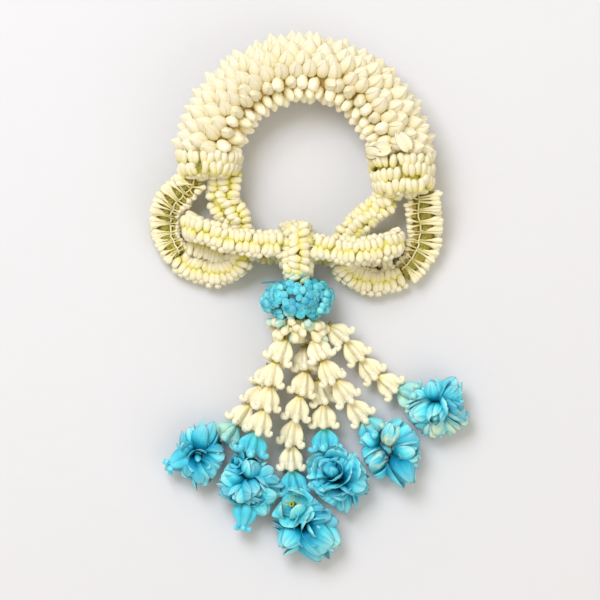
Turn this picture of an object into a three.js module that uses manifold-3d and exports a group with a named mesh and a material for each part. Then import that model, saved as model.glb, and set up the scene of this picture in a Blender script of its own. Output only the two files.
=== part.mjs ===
// A hand garland of fresh flowers, laid flat: a thick arch of jasmine buds whose two ends carry a ring of
// small crepe jasmine buds each, a doubled strand looped through both rings and bound by a knot, and a
// tassel: a dyed bud band and six threads of crown flowers, each ending in a cluster of dyed jasmine.
// Millimetres. +Z is up from the table, +Y runs from the tassel to the arch, and +X is to the right.

import * as THREE from "three";
import { mergeVertices } from "three/addons/utils/BufferGeometryUtils.js";
import Module from "manifold-3d";

const wasm = await Module();
wasm.setup();

// Driving dimensions. The layout's own zero is the centre of the arch, on the table.
const ARCH_RADIUS = 51; // centre of the arch to the middle of its bud tube
const ARCH_TUBE = 19.8; // middle of the tube to the bud tips
const ARCH_AXIS_Z = 18.6; // the lowest tips are pressed flat on the table
const ARCH_START_DEG = 172; // upper left end of the jasmine buds
const ARCH_END_DEG = 7; // upper right end
const ARCH_BUD_ROWS = 12;
const ARCH_BUDS_PER_ROW = 18;
const ARCH_NODES = 6;
const LEFT_COLLAR_DEG = 13; // turn of the arch that each collar of small buds covers
const RIGHT_COLLAR_DEG = 21.5;
const RIGHT_COLLAR_SPREAD = 3; // the right end opens outwards by this much
const COLLAR_TUBE = [18.8, 16.6]; // at the jasmine, and at the rings
const STRAND_HALF_WIDTH = 7; // a strand of small buds is a flattened tube
const STRAND_HALF_THICKNESS = 5.2;
const STRAND_BUD_PITCH = 7.4;
const STRAND_BUD_ROWS = 6;
const THREAD_HALF_SIDE = 0.45;
const THREAD_CLEARANCE = 0.35;
const THREAD_TAIL = 4; // how far a thread runs into the piece that holds it
const TUNNEL_OVERRUN = 1;
const SEAT_GAP = 0.3; // between pieces that press on each other
const SPLIT_GAP = 1.4; // along the strand, between two lengths of one strand
const CROWN_FLOWER_LENGTH = 13;
const FLOWER_GAP = 0.35; // from a flower's ends to the joints on its thread
const LOBES = 5; // petals of a crown flower and of a jasmine

const COLOURS = {
  jasmine: [0xf3ecd2, 0.55],
  small_bud: [0xf4f0d6, 0.5],
  crown: [0xf1ead0, 0.5],
  dyed: [0x2fb4d6, 0.55],
  dyed_pale: [0x9fdbe0, 0.55],
  thread: [0xe9e4d2, 0.8],
};

const vec = (x, y, z) => new THREE.Vector3(x, y, z);

// Repeatable numbers from 0 to 1.
function seeded(seed) {
  let state = seed;
  return () => {
    state = (state + 0x6d2b79f5) | 0;
    let mixed = Math.imul(state ^ (state >>> 15), 1 | state);
    mixed = (mixed + Math.imul(mixed ^ (mixed >>> 7), 61 | mixed)) ^ mixed;
    return ((mixed ^ (mixed >>> 14)) >>> 0) / 2 ** 32;
  };
}

// Solids

function solidOf(geometry) {
  const bare = geometry.index ? geometry.toNonIndexed() : geometry.clone();
  bare.deleteAttribute("normal");
  bare.deleteAttribute("uv");
  const merged = mergeVertices(bare, 1e-4);
  const mesh = new wasm.Mesh({
    numProp: 3,
    vertProperties: new Float32Array(merged.attributes.position.array),
    triVerts: new Uint32Array(merged.index.array),
  });
  return new wasm.Manifold(mesh);
}

function geometryOf(solid) {
  const { vertProperties, triVerts } = solid.getMesh();
  const geometry = new THREE.BufferGeometry();
  geometry.setAttribute("position", new THREE.BufferAttribute(vertProperties, 3));
  geometry.setIndex(new THREE.BufferAttribute(triVerts, 1));
  return geometry;
}

function closedGeometry(points, triangles) {
  const geometry = new THREE.BufferGeometry().setFromPoints(points);
  geometry.setIndex(triangles);
  return geometry;
}

const TABLE_DEPTH = 40;
const table = solidOf(new THREE.BoxGeometry(600, 600, TABLE_DEPTH).translate(0, -50, -TABLE_DEPTH / 2));

const smooth = (points) => new THREE.CatmullRomCurve3(points, false, "centripetal");

// A route is a curve with a steady way up, which a strand and its thread both follow.
class Route {
  constructor(curve, sideways = null) {
    this.curve = curve;
    this.sideways = sideways; // kept level across the strand where it turns over on itself
    this.length = curve.getLength();
  }

  frame(distance) {
    const inside = THREE.MathUtils.clamp(distance, 0, this.length);
    const along = this.curve.getTangentAt(inside / this.length);
    const point = this.curve.getPointAt(inside / this.length).addScaledVector(along, distance - inside);
    const side = this.sideways
      ? this.sideways.clone().addScaledVector(along, -this.sideways.dot(along)).normalize()
      : vec(0, 0, 1).cross(along).normalize();
    const up = along.clone().cross(side);
    return { distance, point, side, up };
  }
}

// The corners of a square of this half side across a thread or a tunnel.
const squareAt = ({ point, side, up }, half) =>
  [[1, 1], [-1, 1], [-1, -1], [1, -1]].map(([right, high]) =>
    point.clone().addScaledVector(side, right * half).addScaledVector(up, high * half),
  );

// The straight lengths of a thread: a square stands across it at each station.
class Thread {
  constructor(stations) {
    this.stations = stations;
  }

  // The tail is straight and runs on past both ends of the stretch.
  static along(route, steps, { start = 0, end = route.length, tail = 0 } = {}) {
    const distances = Array.from({ length: steps + 1 }, (_, k) => start + ((end - start) * k) / steps);
    const ends = tail ? [start - tail, ...distances, end + tail] : distances;
    return new Thread(ends.map((distance) => route.frame(distance)));
  }

  static through(points) {
    const heading = (k) => points[k + 1].clone().sub(points[k]).normalize();
    let distance = 0;
    const stations = points.map((point, k) => {
      const before = heading(Math.max(k - 1, 0));
      const after = heading(Math.min(k, points.length - 2));
      const along = before.add(after).normalize();
      const side = vec(0, 0, 1).cross(along).normalize();
      if (k > 0) distance += point.distanceTo(points[k - 1]);
      return { distance, point, side, up: along.clone().cross(side) };
    });
    return new Thread(stations);
  }

  section(distance) {
    const last = this.stations.length - 1;
    let k = this.stations.findIndex((station) => station.distance > distance) - 1;
    k = k < -1 ? last - 1 : THREE.MathUtils.clamp(k, 0, last - 1);
    const [a, b] = [this.stations[k], this.stations[k + 1]];
    const share = (distance - a.distance) / (b.distance - a.distance);
    const between = (key) => a[key].clone().lerp(b[key], share);
    return { distance, point: between("point"), side: between("side"), up: between("up") };
  }

  // The squares from one distance to another, at this distance from the thread's middle to each side.
  squares(from, to, half) {
    const inside = this.stations.filter(({ distance }) => distance > from + 1e-6 && distance < to - 1e-6);
    return [this.section(from), ...inside, this.section(to)].map((section) => squareAt(section, half));
  }

  solid(half = THREAD_HALF_SIDE, overrun = 0) {
    const first = this.stations[0].distance;
    const last = this.stations[this.stations.length - 1].distance;
    const squares = this.squares(first - overrun, last + overrun, half);
    const triangles = wallTriangles(squares.map((_, k) => [0, 1, 2, 3].map((corner) => 4 * k + corner)));
    const end = 4 * squares.length - 4;
    triangles.push(0, 2, 1, 0, 3, 2, end, end + 1, end + 2, end, end + 2, end + 3);
    return solidOf(closedGeometry(squares.flat(), triangles));
  }

  tunnel(half = THREAD_HALF_SIDE) {
    return this.solid(half + THREAD_CLEARANCE, TUNNEL_OVERRUN);
  }
}

// Triangles of a wall through rings of corners, facing away from its middle.
function wallTriangles(rings) {
  const triangles = [];
  for (let k = 1; k < rings.length; k++) {
    rings[k].forEach((corner, c) => {
      const next = (c + 1) % rings[k].length;
      triangles.push(rings[k - 1][c], rings[k - 1][next], rings[k][next]);
      triangles.push(rings[k - 1][c], rings[k][next], corner);
    });
  }
  return triangles;
}

const turnedOver = (triangles) => triangles.slice().reverse();

const TABLE_SIDE = -0.3; // buds that point lower than this have three shoulders in place of six

// A sleeve of buds on a stretch of a route. Its surface is a honeycomb: each bud fills one six-sided cell,
// the cell's corners lie low between the buds, and the bud rises from them to a point or to a short ridge.
function budSleeve(route, spec) {
  const { rows, cells, section, valley, seed, start = 0, end = route.length } = spec;
  const { from = 0, to = cells, shoulder = null, ridge = 0.28, scatter = 0.12 } = spec;
  const { thread = null, threadHalf = THREAD_HALF_SIDE, roundness = 1 } = spec;
  const random = seeded(seed);
  const pitch = (end - start) / cells;
  const rowStep = (2 * Math.PI) / rows;
  const points = [];
  const triangles = [];

  // Below one, the roundness squares off the sleeve's section.
  const squared = (part) => Math.sign(part) * Math.abs(part) ** roundness;
  const place = (distance, angle, lift) => {
    const { point, side, up } = route.frame(distance);
    const [wide, thick] = section((distance - start) / (end - start));
    point.addScaledVector(side, wide * lift * squared(Math.cos(angle)));
    point.addScaledVector(up, thick * lift * squared(Math.sin(angle)));
    return points.push(point) - 1;
  };

  // Distance along the route of a corner line. A split end keeps half the gap, and a free end is cut square.
  const lineDistance = (line) => {
    const distance = start + (line / 2 - 0.25) * pitch;
    if (line < 2 * from + 2) return from === 0 ? start : distance + SPLIT_GAP / 2;
    if (line >= 2 * to) return to === cells ? end : distance - SPLIT_GAP / 2;
    return distance;
  };
  const cornerAngle = (row, line) => (row + ((row + line) % 2 ? 0.6 : 0.4)) * rowStep;
  const corners = Array.from({ length: rows }, (_, row) => {
    const ring = new Map();
    for (let line = 2 * from; line <= 2 * to + 1; line++)
      ring.set(line, place(lineDistance(line), cornerAngle(row, line), valley));
    return ring;
  });
  const corner = (row, line) => corners[(row + rows) % rows].get(line);

  for (let row = 0; row < rows; row++) {
    for (let cell = from; cell < to; cell++) {
      const line = 2 * cell + (row % 2);
      const middle = start + (cell + (row % 2 ? 0.75 : 0.25)) * pitch + (random() - 0.5) * scatter * pitch;
      const angle = (row + (random() - 0.5) * scatter) * rowStep;
      const height = 1 - random() * scatter * 0.6;
      const outline = [[0, row], [1, row], [2, row], [2, row - 1], [1, row - 1], [0, row - 1]].map(([k, edge]) => ({
        at: corner(edge, line + k),
        distance: lineDistance(line + k),
        angle: (edge + ((edge + rows + line + k) % 2 ? 0.6 : 0.4)) * rowStep,
      }));
      if (shoulder) {
        const picked = Math.sin(angle) < TABLE_SIDE ? [0, 2, 4] : [0, 1, 2, 3, 4, 5];
        const ring = picked.map((k) =>
          place(
            THREE.MathUtils.lerp(middle, outline[k].distance, shoulder.spread),
            THREE.MathUtils.lerp(angle, outline[k].angle, shoulder.spread),
            shoulder.lift * height,
          ),
        );
        const tip = place(middle, angle, height);
        ring.forEach((here, k) => {
          const there = ring[(k + 1) % ring.length];
          const [a, b, c] = [0, 1, 2].map((step) => outline[(picked[k] + step) % 6].at);
          triangles.push(a, b, here, b, there, here, here, there, tip);
          if (ring.length === 3) triangles.push(b, c, there);
        });
      } else {
        const lowEnd = place(middle, angle - ridge * rowStep, height);
        const highEnd = place(middle, angle + ridge * rowStep, height);
        const [h0, h1, h2, l2, l1, l0] = outline.map((c) => c.at);
        triangles.push(h0, h1, highEnd, h1, h2, highEnd, h2, l2, lowEnd, h2, lowEnd, highEnd);
        triangles.push(l2, l1, lowEnd, l1, l0, lowEnd, l0, h0, highEnd, l0, highEnd, lowEnd);
      }
    }
  }

  // Each end is closed from its outermost corners to the thread's tunnel, or to the middle of a strand
  // that has none.
  const rims = [2 * from, 2 * to].map((line) => {
    const rim = [];
    for (let row = 0; row < rows; row += 2)
      rim.push([row - 1, line], [row, line], [row, line + 1], [row + 1, line + 1]);
    return rim;
  });
  const hubs = rims.map((rim) => (lineDistance(rim[0][1]) + lineDistance(rim[2][1])) / 2);
  let tunnelRings = null;
  if (thread) {
    const squares = thread.squares(hubs[0], hubs[1], threadHalf + THREAD_CLEARANCE);
    tunnelRings = squares.map((square) => square.map((point) => points.push(point) - 1));
    triangles.push(...turnedOver(wallTriangles(tunnelRings)));
  }
  rims.forEach((rim, side) => {
    const inner = thread
      ? tunnelRings[side ? tunnelRings.length - 1 : 0]
      : Array(4).fill(points.push(route.frame(hubs[side]).point) - 1);
    const quarter = ([row, line]) =>
      Math.floor(((row + rows + ((row + rows + line) % 2 ? 0.6 : 0.4)) * 4) / rows + 4e-6) % 4;
    const cap = [];
    rim.forEach((at, k) => {
      const next = rim[(k + 1) % rim.length];
      const [here, there] = [quarter(at), quarter(next)];
      cap.push(corner(...at), corner(...next), inner[here]);
      if (thread && here !== there) cap.push(corner(...next), inner[there], inner[here]);
    });
    triangles.push(...(side ? cap : turnedOver(cap)));
  });
  return solidOf(closedGeometry(points, triangles));
}

// A body of lobes round the Z axis, with a bore if one is given. Each level gives its height, its lobes'
// radius and its grooves' radius.
function lobed(levels, bore = 0) {
  const sides = 2 * LOBES;
  const points = [];
  const onCircle = (radius, angle, z) => points.push(vec(radius * Math.cos(angle), radius * Math.sin(angle), z)) - 1;
  const rings = levels.map(([z, crest, groove]) =>
    Array.from({ length: sides }, (_, k) => onCircle(k % 2 ? groove : crest, (k * 2 * Math.PI) / sides, z)),
  );
  const triangles = wallTriangles(rings);
  const ends = [rings[0], rings[rings.length - 1]];
  const heights = [levels[0][0], levels[levels.length - 1][0]];
  if (bore) {
    const inner = heights.map((z) => Array.from({ length: LOBES }, (_, k) => onCircle(bore, (k * 2 * Math.PI) / LOBES, z)));
    triangles.push(...turnedOver(wallTriangles(inner)));
    ends.forEach((ring, side) => {
      const cap = [];
      for (let k = 0; k < LOBES; k++) {
        const [a, b, c] = [ring[2 * k], ring[2 * k + 1], ring[(2 * k + 2) % sides]];
        const [near, far] = [inner[side][k], inner[side][(k + 1) % LOBES]];
        cap.push(a, b, near, b, far, near, b, c, far);
      }
      triangles.push(...(side ? cap : turnedOver(cap)));
    });
  } else {
    ends.forEach((ring, side) => {
      const hub = points.push(vec(0, 0, heights[side])) - 1;
      const cap = ring.flatMap((at, k) => [at, ring[(k + 1) % sides], hub]);
      triangles.push(...(side ? cap : turnedOver(cap)));
    });
  }
  return closedGeometry(points, triangles);
}

// Meshes

const garland = new THREE.Group();

function addPiece(name, solid, colour) {
  const [hex, roughness] = COLOURS[colour];
  const material = new THREE.MeshStandardMaterial({ color: hex, roughness, metalness: 0 });
  const mesh = new THREE.Mesh(geometryOf(solid), material);
  mesh.name = name;
  garland.add(mesh);
  return mesh;
}

// Arch: jasmine buds in rows round a thread, divided along its length. The same line carries on at both
// ends as a collar of small buds.
class ArchCurve extends THREE.Curve {
  getPoint(share) {
    const startDeg = ARCH_START_DEG + LEFT_COLLAR_DEG;
    const degrees = THREE.MathUtils.lerp(startDeg, ARCH_END_DEG - RIGHT_COLLAR_DEG, share);
    const below = Math.max(0, (ARCH_END_DEG - degrees) / RIGHT_COLLAR_DEG);
    const radius = ARCH_RADIUS + RIGHT_COLLAR_SPREAD * below * below;
    const angle = THREE.MathUtils.degToRad(degrees);
    return vec(radius * Math.cos(angle), radius * Math.sin(angle), ARCH_AXIS_Z);
  }
}

const arch = new Route(new ArchCurve());
const archStart = THREE.MathUtils.degToRad(LEFT_COLLAR_DEG) * ARCH_RADIUS;
const archEnd = archStart + THREE.MathUtils.degToRad(ARCH_START_DEG - ARCH_END_DEG) * ARCH_RADIUS;
const archThread = Thread.along(arch, 15, { start: THREAD_TAIL, end: arch.length - THREAD_TAIL });

for (let node = 0; node < ARCH_NODES; node++) {
  const sleeve = budSleeve(arch, {
    rows: ARCH_BUD_ROWS,
    cells: ARCH_BUDS_PER_ROW,
    from: (node * ARCH_BUDS_PER_ROW) / ARCH_NODES,
    to: ((node + 1) * ARCH_BUDS_PER_ROW) / ARCH_NODES,
    start: archStart,
    end: archEnd,
    section: () => [ARCH_TUBE, ARCH_TUBE],
    valley: 0.56,
    shoulder: { spread: 0.84, lift: 0.8 },
    thread: archThread,
    seed: 11 + node,
  });
  addPiece(`arch_jasmine_${node + 1}`, sleeve.subtract(table), "jasmine");
}
addPiece("arch_thread", archThread.solid(), "thread");

// Rings of small buds. Each starts and ends square under its collar.
const OUTER_OFFSET = 10.2; // of a strand's middle from the collar's axis, away from the garland's middle
const INNER_OFFSET = 8.2;
const RING_LEAD = [0.4, 1.6, 3]; // the first points of a ring's strand, straight down from the collar

function ringRoute(collarEnd, leaving, outward, inner) {
  const { point, side } = arch.frame(collarEnd);
  const along = arch.curve.getTangentAt(collarEnd / arch.length).multiplyScalar(leaving);
  const start = (offset, distance) => point.clone().addScaledVector(side, offset).addScaledVector(along, distance);
  return new Route(
    smooth([
      ...RING_LEAD.map((distance) => start(outward * OUTER_OFFSET, distance)),
      ...inner.map(([x, y, z]) => vec(x, y, z)),
      ...RING_LEAD.toReversed().map((distance) => start(-outward * INNER_OFFSET, distance)),
    ]),
  );
}

const FLOOR_Z = 5.5; // middle of a strand that lies on the table
const leftRing = ringRoute(0, -1, 1, [
  [-66.4, -13.9, 15.4],
  [-71.4, -19.4, 12.5],
  [-74, -28, 7],
  [-72.6, -40, FLOOR_Z],
  [-65, -50.6, FLOOR_Z],
  [-54, -56, FLOOR_Z],
  [-43.5, -56.5, 8],
  [-34.5, -49, 15.6],
  [-34.5, -38, 17],
  [-38.5, -26, 17],
  [-44, -17.5, 17.5],
]);
const rightRing = ringRoute(arch.length, 1, 1, [
  [63, -27.5, 13],
  [63.6, -38.5, 7.5],
  [59, -50.5, FLOOR_Z],
  [48.5, -59.4, FLOOR_Z],
  [35, -61.4, FLOOR_Z + 0.6],
  [24, -57, 11],
  [19, -47.5, 16.6],
  [23.5, -36, 17],
  [32, -27, 17],
]);

// A ring's strand is broader where its flat face shows: by its start, and on the left by its end too.
const { smoothstep } = THREE.MathUtils;
const BROADER = 1.7;
const strandSection = () => [STRAND_HALF_WIDTH, STRAND_HALF_THICKNESS];
const ringSection = (broadEnd) => (share) => [
  STRAND_HALF_WIDTH + BROADER * (1 - smoothstep(share, 0.16, 0.34) + broadEnd * smoothstep(share, 0.68, 0.84)),
  STRAND_HALF_THICKNESS,
];

// One strand of small buds divided at the given shares of its length.
function addStrand(names, route, shares, thread, seed, section = strandSection) {
  const cells = Math.round(route.length / STRAND_BUD_PITCH);
  const cuts = [0, ...shares.map((share) => Math.round(cells * share)), cells];
  names.forEach((name, k) => {
    const sleeve = budSleeve(route, {
      rows: STRAND_BUD_ROWS,
      cells,
      from: cuts[k],
      to: cuts[k + 1],
      section,
      valley: 0.62,
      thread,
      seed: seed + k,
    });
    addPiece(name, sleeve, "small_bud");
  });
}

const ringThreads = {};
for (const [side, ring, seed, section] of [
  ["left", leftRing, 31, ringSection(1)],
  ["right", rightRing, 41, ringSection(0)],
]) {
  const thread = Thread.along(ring, 12, { tail: THREAD_TAIL });
  const names = ["outer", "bottom", "inner"].map((place) => `ring_${side}_${place}`);
  addStrand(names, ring, [0.36, 0.66], thread, seed, section);
  addPiece(`ring_thread_${side}`, thread.solid(), "thread");
  ringThreads[side] = thread;
}

for (const [side, start, end, cells] of [
  ["left", archStart - SEAT_GAP, 0, 2],
  ["right", archEnd + SEAT_GAP, arch.length, 3],
]) {
  const sleeve = budSleeve(arch, {
    rows: ARCH_BUD_ROWS,
    cells,
    start: Math.min(start, end),
    end: Math.max(start, end),
    section: (share) => {
      const radius = THREE.MathUtils.lerp(...COLLAR_TUBE, side === "left" ? 1 - share : share);
      return [radius, radius];
    },
    valley: 0.66,
    seed: side === "left" ? 51 : 52,
  });
  const bored = sleeve.subtract(archThread.tunnel()).subtract(ringThreads[side].tunnel());
  addPiece(`collar_${side}`, bored, "small_bud");
}

// The doubled strand: each half runs out from the knot over its ring's inner side, turns down through the
// ring and comes back under it.
const UPPER_Z = 28.6;
const LOWER_Z = 5.5;
const TURN_Z = (UPPER_Z + LOWER_Z) / 2;
const TASSEL_X = -4.1; // the knot's middle
const leftLoop = new Route(
  smooth([
    vec(-12.4, -41.5, UPPER_Z),
    vec(-24, -41, UPPER_Z),
    vec(-36, -40.2, UPPER_Z),
    vec(-49, -36.5, UPPER_Z),
    vec(-57.5, -33.2, UPPER_Z - 3.6),
    vec(-60.8, -32, TURN_Z),
    vec(-57.5, -33.4, LOWER_Z + 3.6),
    vec(-49, -37.5, LOWER_Z),
    vec(-36, -42, LOWER_Z),
    vec(-24, -44, LOWER_Z),
    vec(-12.4, -44.5, LOWER_Z),
  ]),
  vec(0, -1, 0),
);
const rightLoop = new Route(
  smooth([
    vec(4.7, -42.5, UPPER_Z),
    vec(17, -44.5, UPPER_Z),
    vec(28, -45.5, UPPER_Z),
    vec(37, -44, UPPER_Z),
    vec(45, -41.4, UPPER_Z - 3.6),
    vec(48.2, -40.4, TURN_Z),
    vec(45, -41.6, LOWER_Z + 3.6),
    vec(37, -44.4, LOWER_Z),
    vec(28, -46, LOWER_Z),
    vec(17, -46, LOWER_Z),
    vec(4.7, -45, LOWER_Z),
  ]),
  vec(0, 1, 0),
);

// One closed thread carries both halves and crosses the knot twice.
const loopThreads = [[leftLoop, 61, "left"], [rightLoop, 71, "right"]].map(([loop, seed, side]) => {
  const thread = Thread.along(loop, 12);
  addStrand([`loop_${side}_upper`, `loop_${side}_lower`], loop, [0.5], thread, seed);
  return thread;
});

function closedThread([there, back], half) {
  const returning = back.stations.map((station) => ({ ...station, side: station.side.clone().negate() })).reverse();
  const squares = [...there.stations, ...returning].map((station) => squareAt(station, half));
  const rings = squares.map((_, k) => [0, 1, 2, 3].map((corner) => 4 * k + corner));
  return solidOf(closedGeometry(squares.flat(), wallTriangles([...rings, rings[0]])));
}

addPiece("loop_thread", closedThread(loopThreads, THREAD_HALF_SIDE), "thread");

// The tassel's threads leave the knot as one bundle and pass through the band and its skirt.
const BUNDLE_HALF_SIDE = 1.5;
const TASSEL_Z = 17.6;
const tasselRoute = new Route(new THREE.LineCurve3(vec(TASSEL_X, -50, TASSEL_Z), vec(-3.1, -93.5, TASSEL_Z)));
const bundle = Thread.along(tasselRoute, 1);
const BAND_START = 10.6; // all three as distances from the bundle's hidden end
const BAND_END = 31.8;
const SKIRT_END = 40.8;
const BAND_RADIUS = 20.2;

const knotRoute = new Route(new THREE.LineCurve3(vec(TASSEL_X - 0.1, -28.6, 16.9), vec(TASSEL_X, -59.4, 16.9)));
const knot = budSleeve(knotRoute, {
  rows: 8,
  cells: 4,
  section: (share) => [
    6 + 3.9 * Math.sin(Math.PI * THREE.MathUtils.clamp(0.12 + share * 0.75, 0, 1)) - share,
    10.5 + 6 * Math.sin(Math.PI * THREE.MathUtils.clamp(0.05 + share * 0.85, 0, 1)),
  ],
  valley: 0.8,
  roundness: 0.6,
  seed: 81,
});
const loopTunnel = closedThread(loopThreads, THREAD_HALF_SIDE + THREAD_CLEARANCE);
const knotBored = knot.subtract(loopTunnel).subtract(bundle.tunnel(BUNDLE_HALF_SIDE));
addPiece("knot", knotBored.subtract(table), "small_bud");

const band = budSleeve(tasselRoute, {
  rows: 12,
  cells: 3,
  start: BAND_START,
  end: BAND_END,
  section: (share) => {
    const radius = BAND_RADIUS * Math.sqrt(1 - 0.4 * (2 * THREE.MathUtils.clamp(share, 0, 1) - 1) ** 2);
    return [radius, radius];
  },
  valley: 0.66,
  shoulder: { spread: 0.8, lift: 0.9 },
  thread: bundle,
  threadHalf: BUNDLE_HALF_SIDE,
  seed: 91,
});
addPiece("dyed_band", band.subtract(table), "dyed");

const skirt = budSleeve(tasselRoute, {
  rows: 10,
  cells: 1,
  start: BAND_END + SEAT_GAP,
  end: SKIRT_END,
  section: (share) => [14.4 - 1.5 * share, 13 - 2 * share],
  valley: 0.62,
  thread: bundle,
  threadHalf: BUNDLE_HALF_SIDE,
  seed: 92,
});

// Tassel strands. Joints lie between crown flowers, from the band outwards, and the last flower is dyed.
// Each thread leaves the bundle at a distance along it and may pass bare through leads. The cluster at the
// strand's end has its middle here and its blossoms below: turn in plan, lift off the table, size and form.
const OPEN = "open";
const BUD = "bud";
const BUNDLE_TIP = 43;
const strands = {
  A: {
    leaves: BUNDLE_TIP,
    leads: [[-9, -99, 8]],
    joints: [[-18.6, -106, 7.9], [-23, -116.8, 7.9], [-29, -127.1, 7.9], [-36.5, -137.4, 8], [-44, -145.4, 9]],
    middle: [-57.6, -152.5, 8],
    blossoms: [[0, 84, 1.15, OPEN], [130, 12, 1.15, OPEN], [58, 14, 1.2, OPEN], [188, -4, 1.22, BUD],
      [262, 0, 1.22, OPEN], [326, 18, 1.12, BUD]],
  },
  B: {
    leaves: BUNDLE_TIP,
    leads: [],
    joints: [[-9.5, -91.8, 20], [-15.4, -104, 22], [-18.6, -116.4, 22], [-21.4, -129, 20], [-25.6, -140.9, 17],
      [-29, -152.4, 14.5]],
    middle: [-30, -170, 9.5],
    blossoms: [[84, 34, 1.22, OPEN], [166, 12, 1.1, OPEN], [262, -4, 1.42, OPEN], [346, 16, 1.05, OPEN],
      [218, 40, 1.2, OPEN], [292, 44, 1.15, BUD]],
  },
  C: {
    leaves: BUNDLE_TIP,
    leads: [],
    joints: [[0.3, -96, 10.8], [0.6, -109, 14], [-2.8, -121.6, 15], [-5.3, -134.4, 11.5], [-7.4, -148, 8],
      [-7.4, -161.6, 8], [-5.6, -174.2, 8.5]],
    middle: [-0.8, -189.5, 8.5],
    blossoms: [[126, 50, 1.15, OPEN], [350, 56, 1.2, OPEN], [234, 20, 1.28, OPEN], [298, 0, 1.28, OPEN],
      [166, 0, 1.3, OPEN], [8, 2, 1.15, OPEN]],
  },
  D: {
    leaves: BUNDLE_TIP,
    leads: [[4.5, -95.5, 5]],
    joints: [[6.5, -113.4, 7.8], [10.3, -126.4, 7.8], [10.4, -139.2, 8], [11.6, -151.4, 9]],
    middle: [18, -166, 8.5],
    blossoms: [[0, 84, 1.3, OPEN], [268, -2, 1.22, OPEN], [340, 4, 1.18, OPEN], [172, 10, 1.15, OPEN],
      [66, 14, 1.2, BUD], [24, 24, 1.1, OPEN]],
  },
  E: {
    leaves: BUNDLE_TIP,
    leads: [],
    joints: [[4, -91.8, 21], [9.4, -102.8, 22.5], [15.8, -113.6, 20], [23.2, -124.4, 15.2], [31.5, -134.2, 10.5],
      [37.8, -142.4, 9.5]],
    middle: [45.5, -151.4, 8.2],
    blossoms: [[66, 14, 1.22, OPEN], [205, 44, 1.2, BUD], [32, 62, 1.2, BUD], [312, 34, 1.2, OPEN],
      [262, -2, 1.22, OPEN], [352, 0, 1.15, OPEN]],
  },
  F: {
    leaves: 35.6,
    leads: [],
    joints: [[12.6, -85, 12.5], [21.6, -92.6, 11], [29.6, -102.6, 9], [38.6, -111.6, 8.2], [49, -119, 8],
      [59, -123.4, 9]],
    middle: [70.8, -127.6, 8.2],
    blossoms: [[210, 6, 1.1, OPEN], [108, 20, 1.15, OPEN], [80, 78, 1.2, BUD], [20, 22, 1.2, BUD],
      [256, 14, 1.15, OPEN], [322, -2, 1.22, OPEN]],
  },
};

// A crown flower hangs by its narrow end: five fins bulge, draw in and end in curled horns.
const crownFlower = lobed(
  [
    [FLOWER_GAP, 2.1, 1.7],
    [5.4, 6.6, 2.7],
    [9.4, 5.7, 3.1],
    [11.4, 7.5, 3],
    [CROWN_FLOWER_LENGTH - FLOWER_GAP, 3.4, 2.4],
  ],
  1.2,
);

// A double jasmine: five outer petals cupped round a pointed heart, or still closed as a bud.
const blossomForms = {
  [OPEN]: lobed([[0, 2.8, 2.3], [8.6, 7.6, 5], [7.6, 4.4, 3.9], [12.6, 0.9, 0.7]]),
  [BUD]: lobed([[0, 2.8, 2.4], [7, 6.2, 4.9], [12.6, 1, 0.8]]),
};
const BLOSSOM_REACH = 2.4; // from a cluster's middle to the foot of each blossom
const ROLL_SCATTER = 0.5; // about a petal that points at the table
const CLUSTER_CORE = 6;

const NECK_RADII = [5.2, 3]; // of the sepals between the dyed crown flower and the cluster
const NECK_GAP = 1.1;

function clusterSolid(top, middle, blossoms, seed) {
  const random = seeded(seed);
  let solid = solidOf(new THREE.IcosahedronGeometry(CLUSTER_CORE, 0).translate(middle.x, middle.y, middle.z));
  const stem = middle.clone().sub(top);
  const neck = new THREE.CylinderGeometry(...NECK_RADII, stem.length() - NECK_GAP, 6);
  neck.translate(0, (stem.length() + NECK_GAP) / 2, 0);
  const upright = new THREE.Quaternion().setFromUnitVectors(vec(0, 1, 0), stem.normalize());
  solid = solid.add(solidOf(neck.applyMatrix4(new THREE.Matrix4().compose(top, upright, vec(1, 1, 1)))));
  for (const [turnDeg, liftDeg, size, form] of blossoms) {
    const [turn, lift] = [turnDeg, liftDeg].map(THREE.MathUtils.degToRad);
    const facing = vec(Math.cos(lift) * Math.cos(turn), Math.cos(lift) * Math.sin(turn), Math.sin(lift));
    const pose = new THREE.Quaternion().setFromUnitVectors(vec(0, 0, 1), facing);
    const down = vec(0, 0, -1).applyQuaternion(pose.clone().invert());
    const roll = Math.atan2(down.y, down.x) + (random() - 0.5) * ROLL_SCATTER;
    pose.multiply(new THREE.Quaternion().setFromAxisAngle(vec(0, 0, 1), roll));
    const foot = middle.clone().addScaledVector(facing, BLOSSOM_REACH);
    const matrix = new THREE.Matrix4().compose(foot, pose, vec(size, size, size));
    solid = solid.add(solidOf(blossomForms[form].clone().applyMatrix4(matrix)));
  }
  return solid;
}

// Neighbouring clusters press on each other halfway between their middles.
function beyondHalfway(middle, neighbour) {
  const span = neighbour.clone().sub(middle);
  const reach = 60;
  const slab = new THREE.BoxGeometry(reach, reach, reach).translate(0, 0, (span.length() + reach + SEAT_GAP) / 2);
  const pose = new THREE.Quaternion().setFromUnitVectors(vec(0, 0, 1), span.normalize());
  return solidOf(slab.applyMatrix4(new THREE.Matrix4().compose(middle, pose, vec(1, 1, 1))));
}

let tasselThreads = bundle.solid(BUNDLE_HALF_SIDE);
const tieTail = Thread.through([vec(TASSEL_X, -60, 16), vec(-24.5, -60.1, 15)]);
tasselThreads = tasselThreads.add(tieTail.solid());

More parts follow.
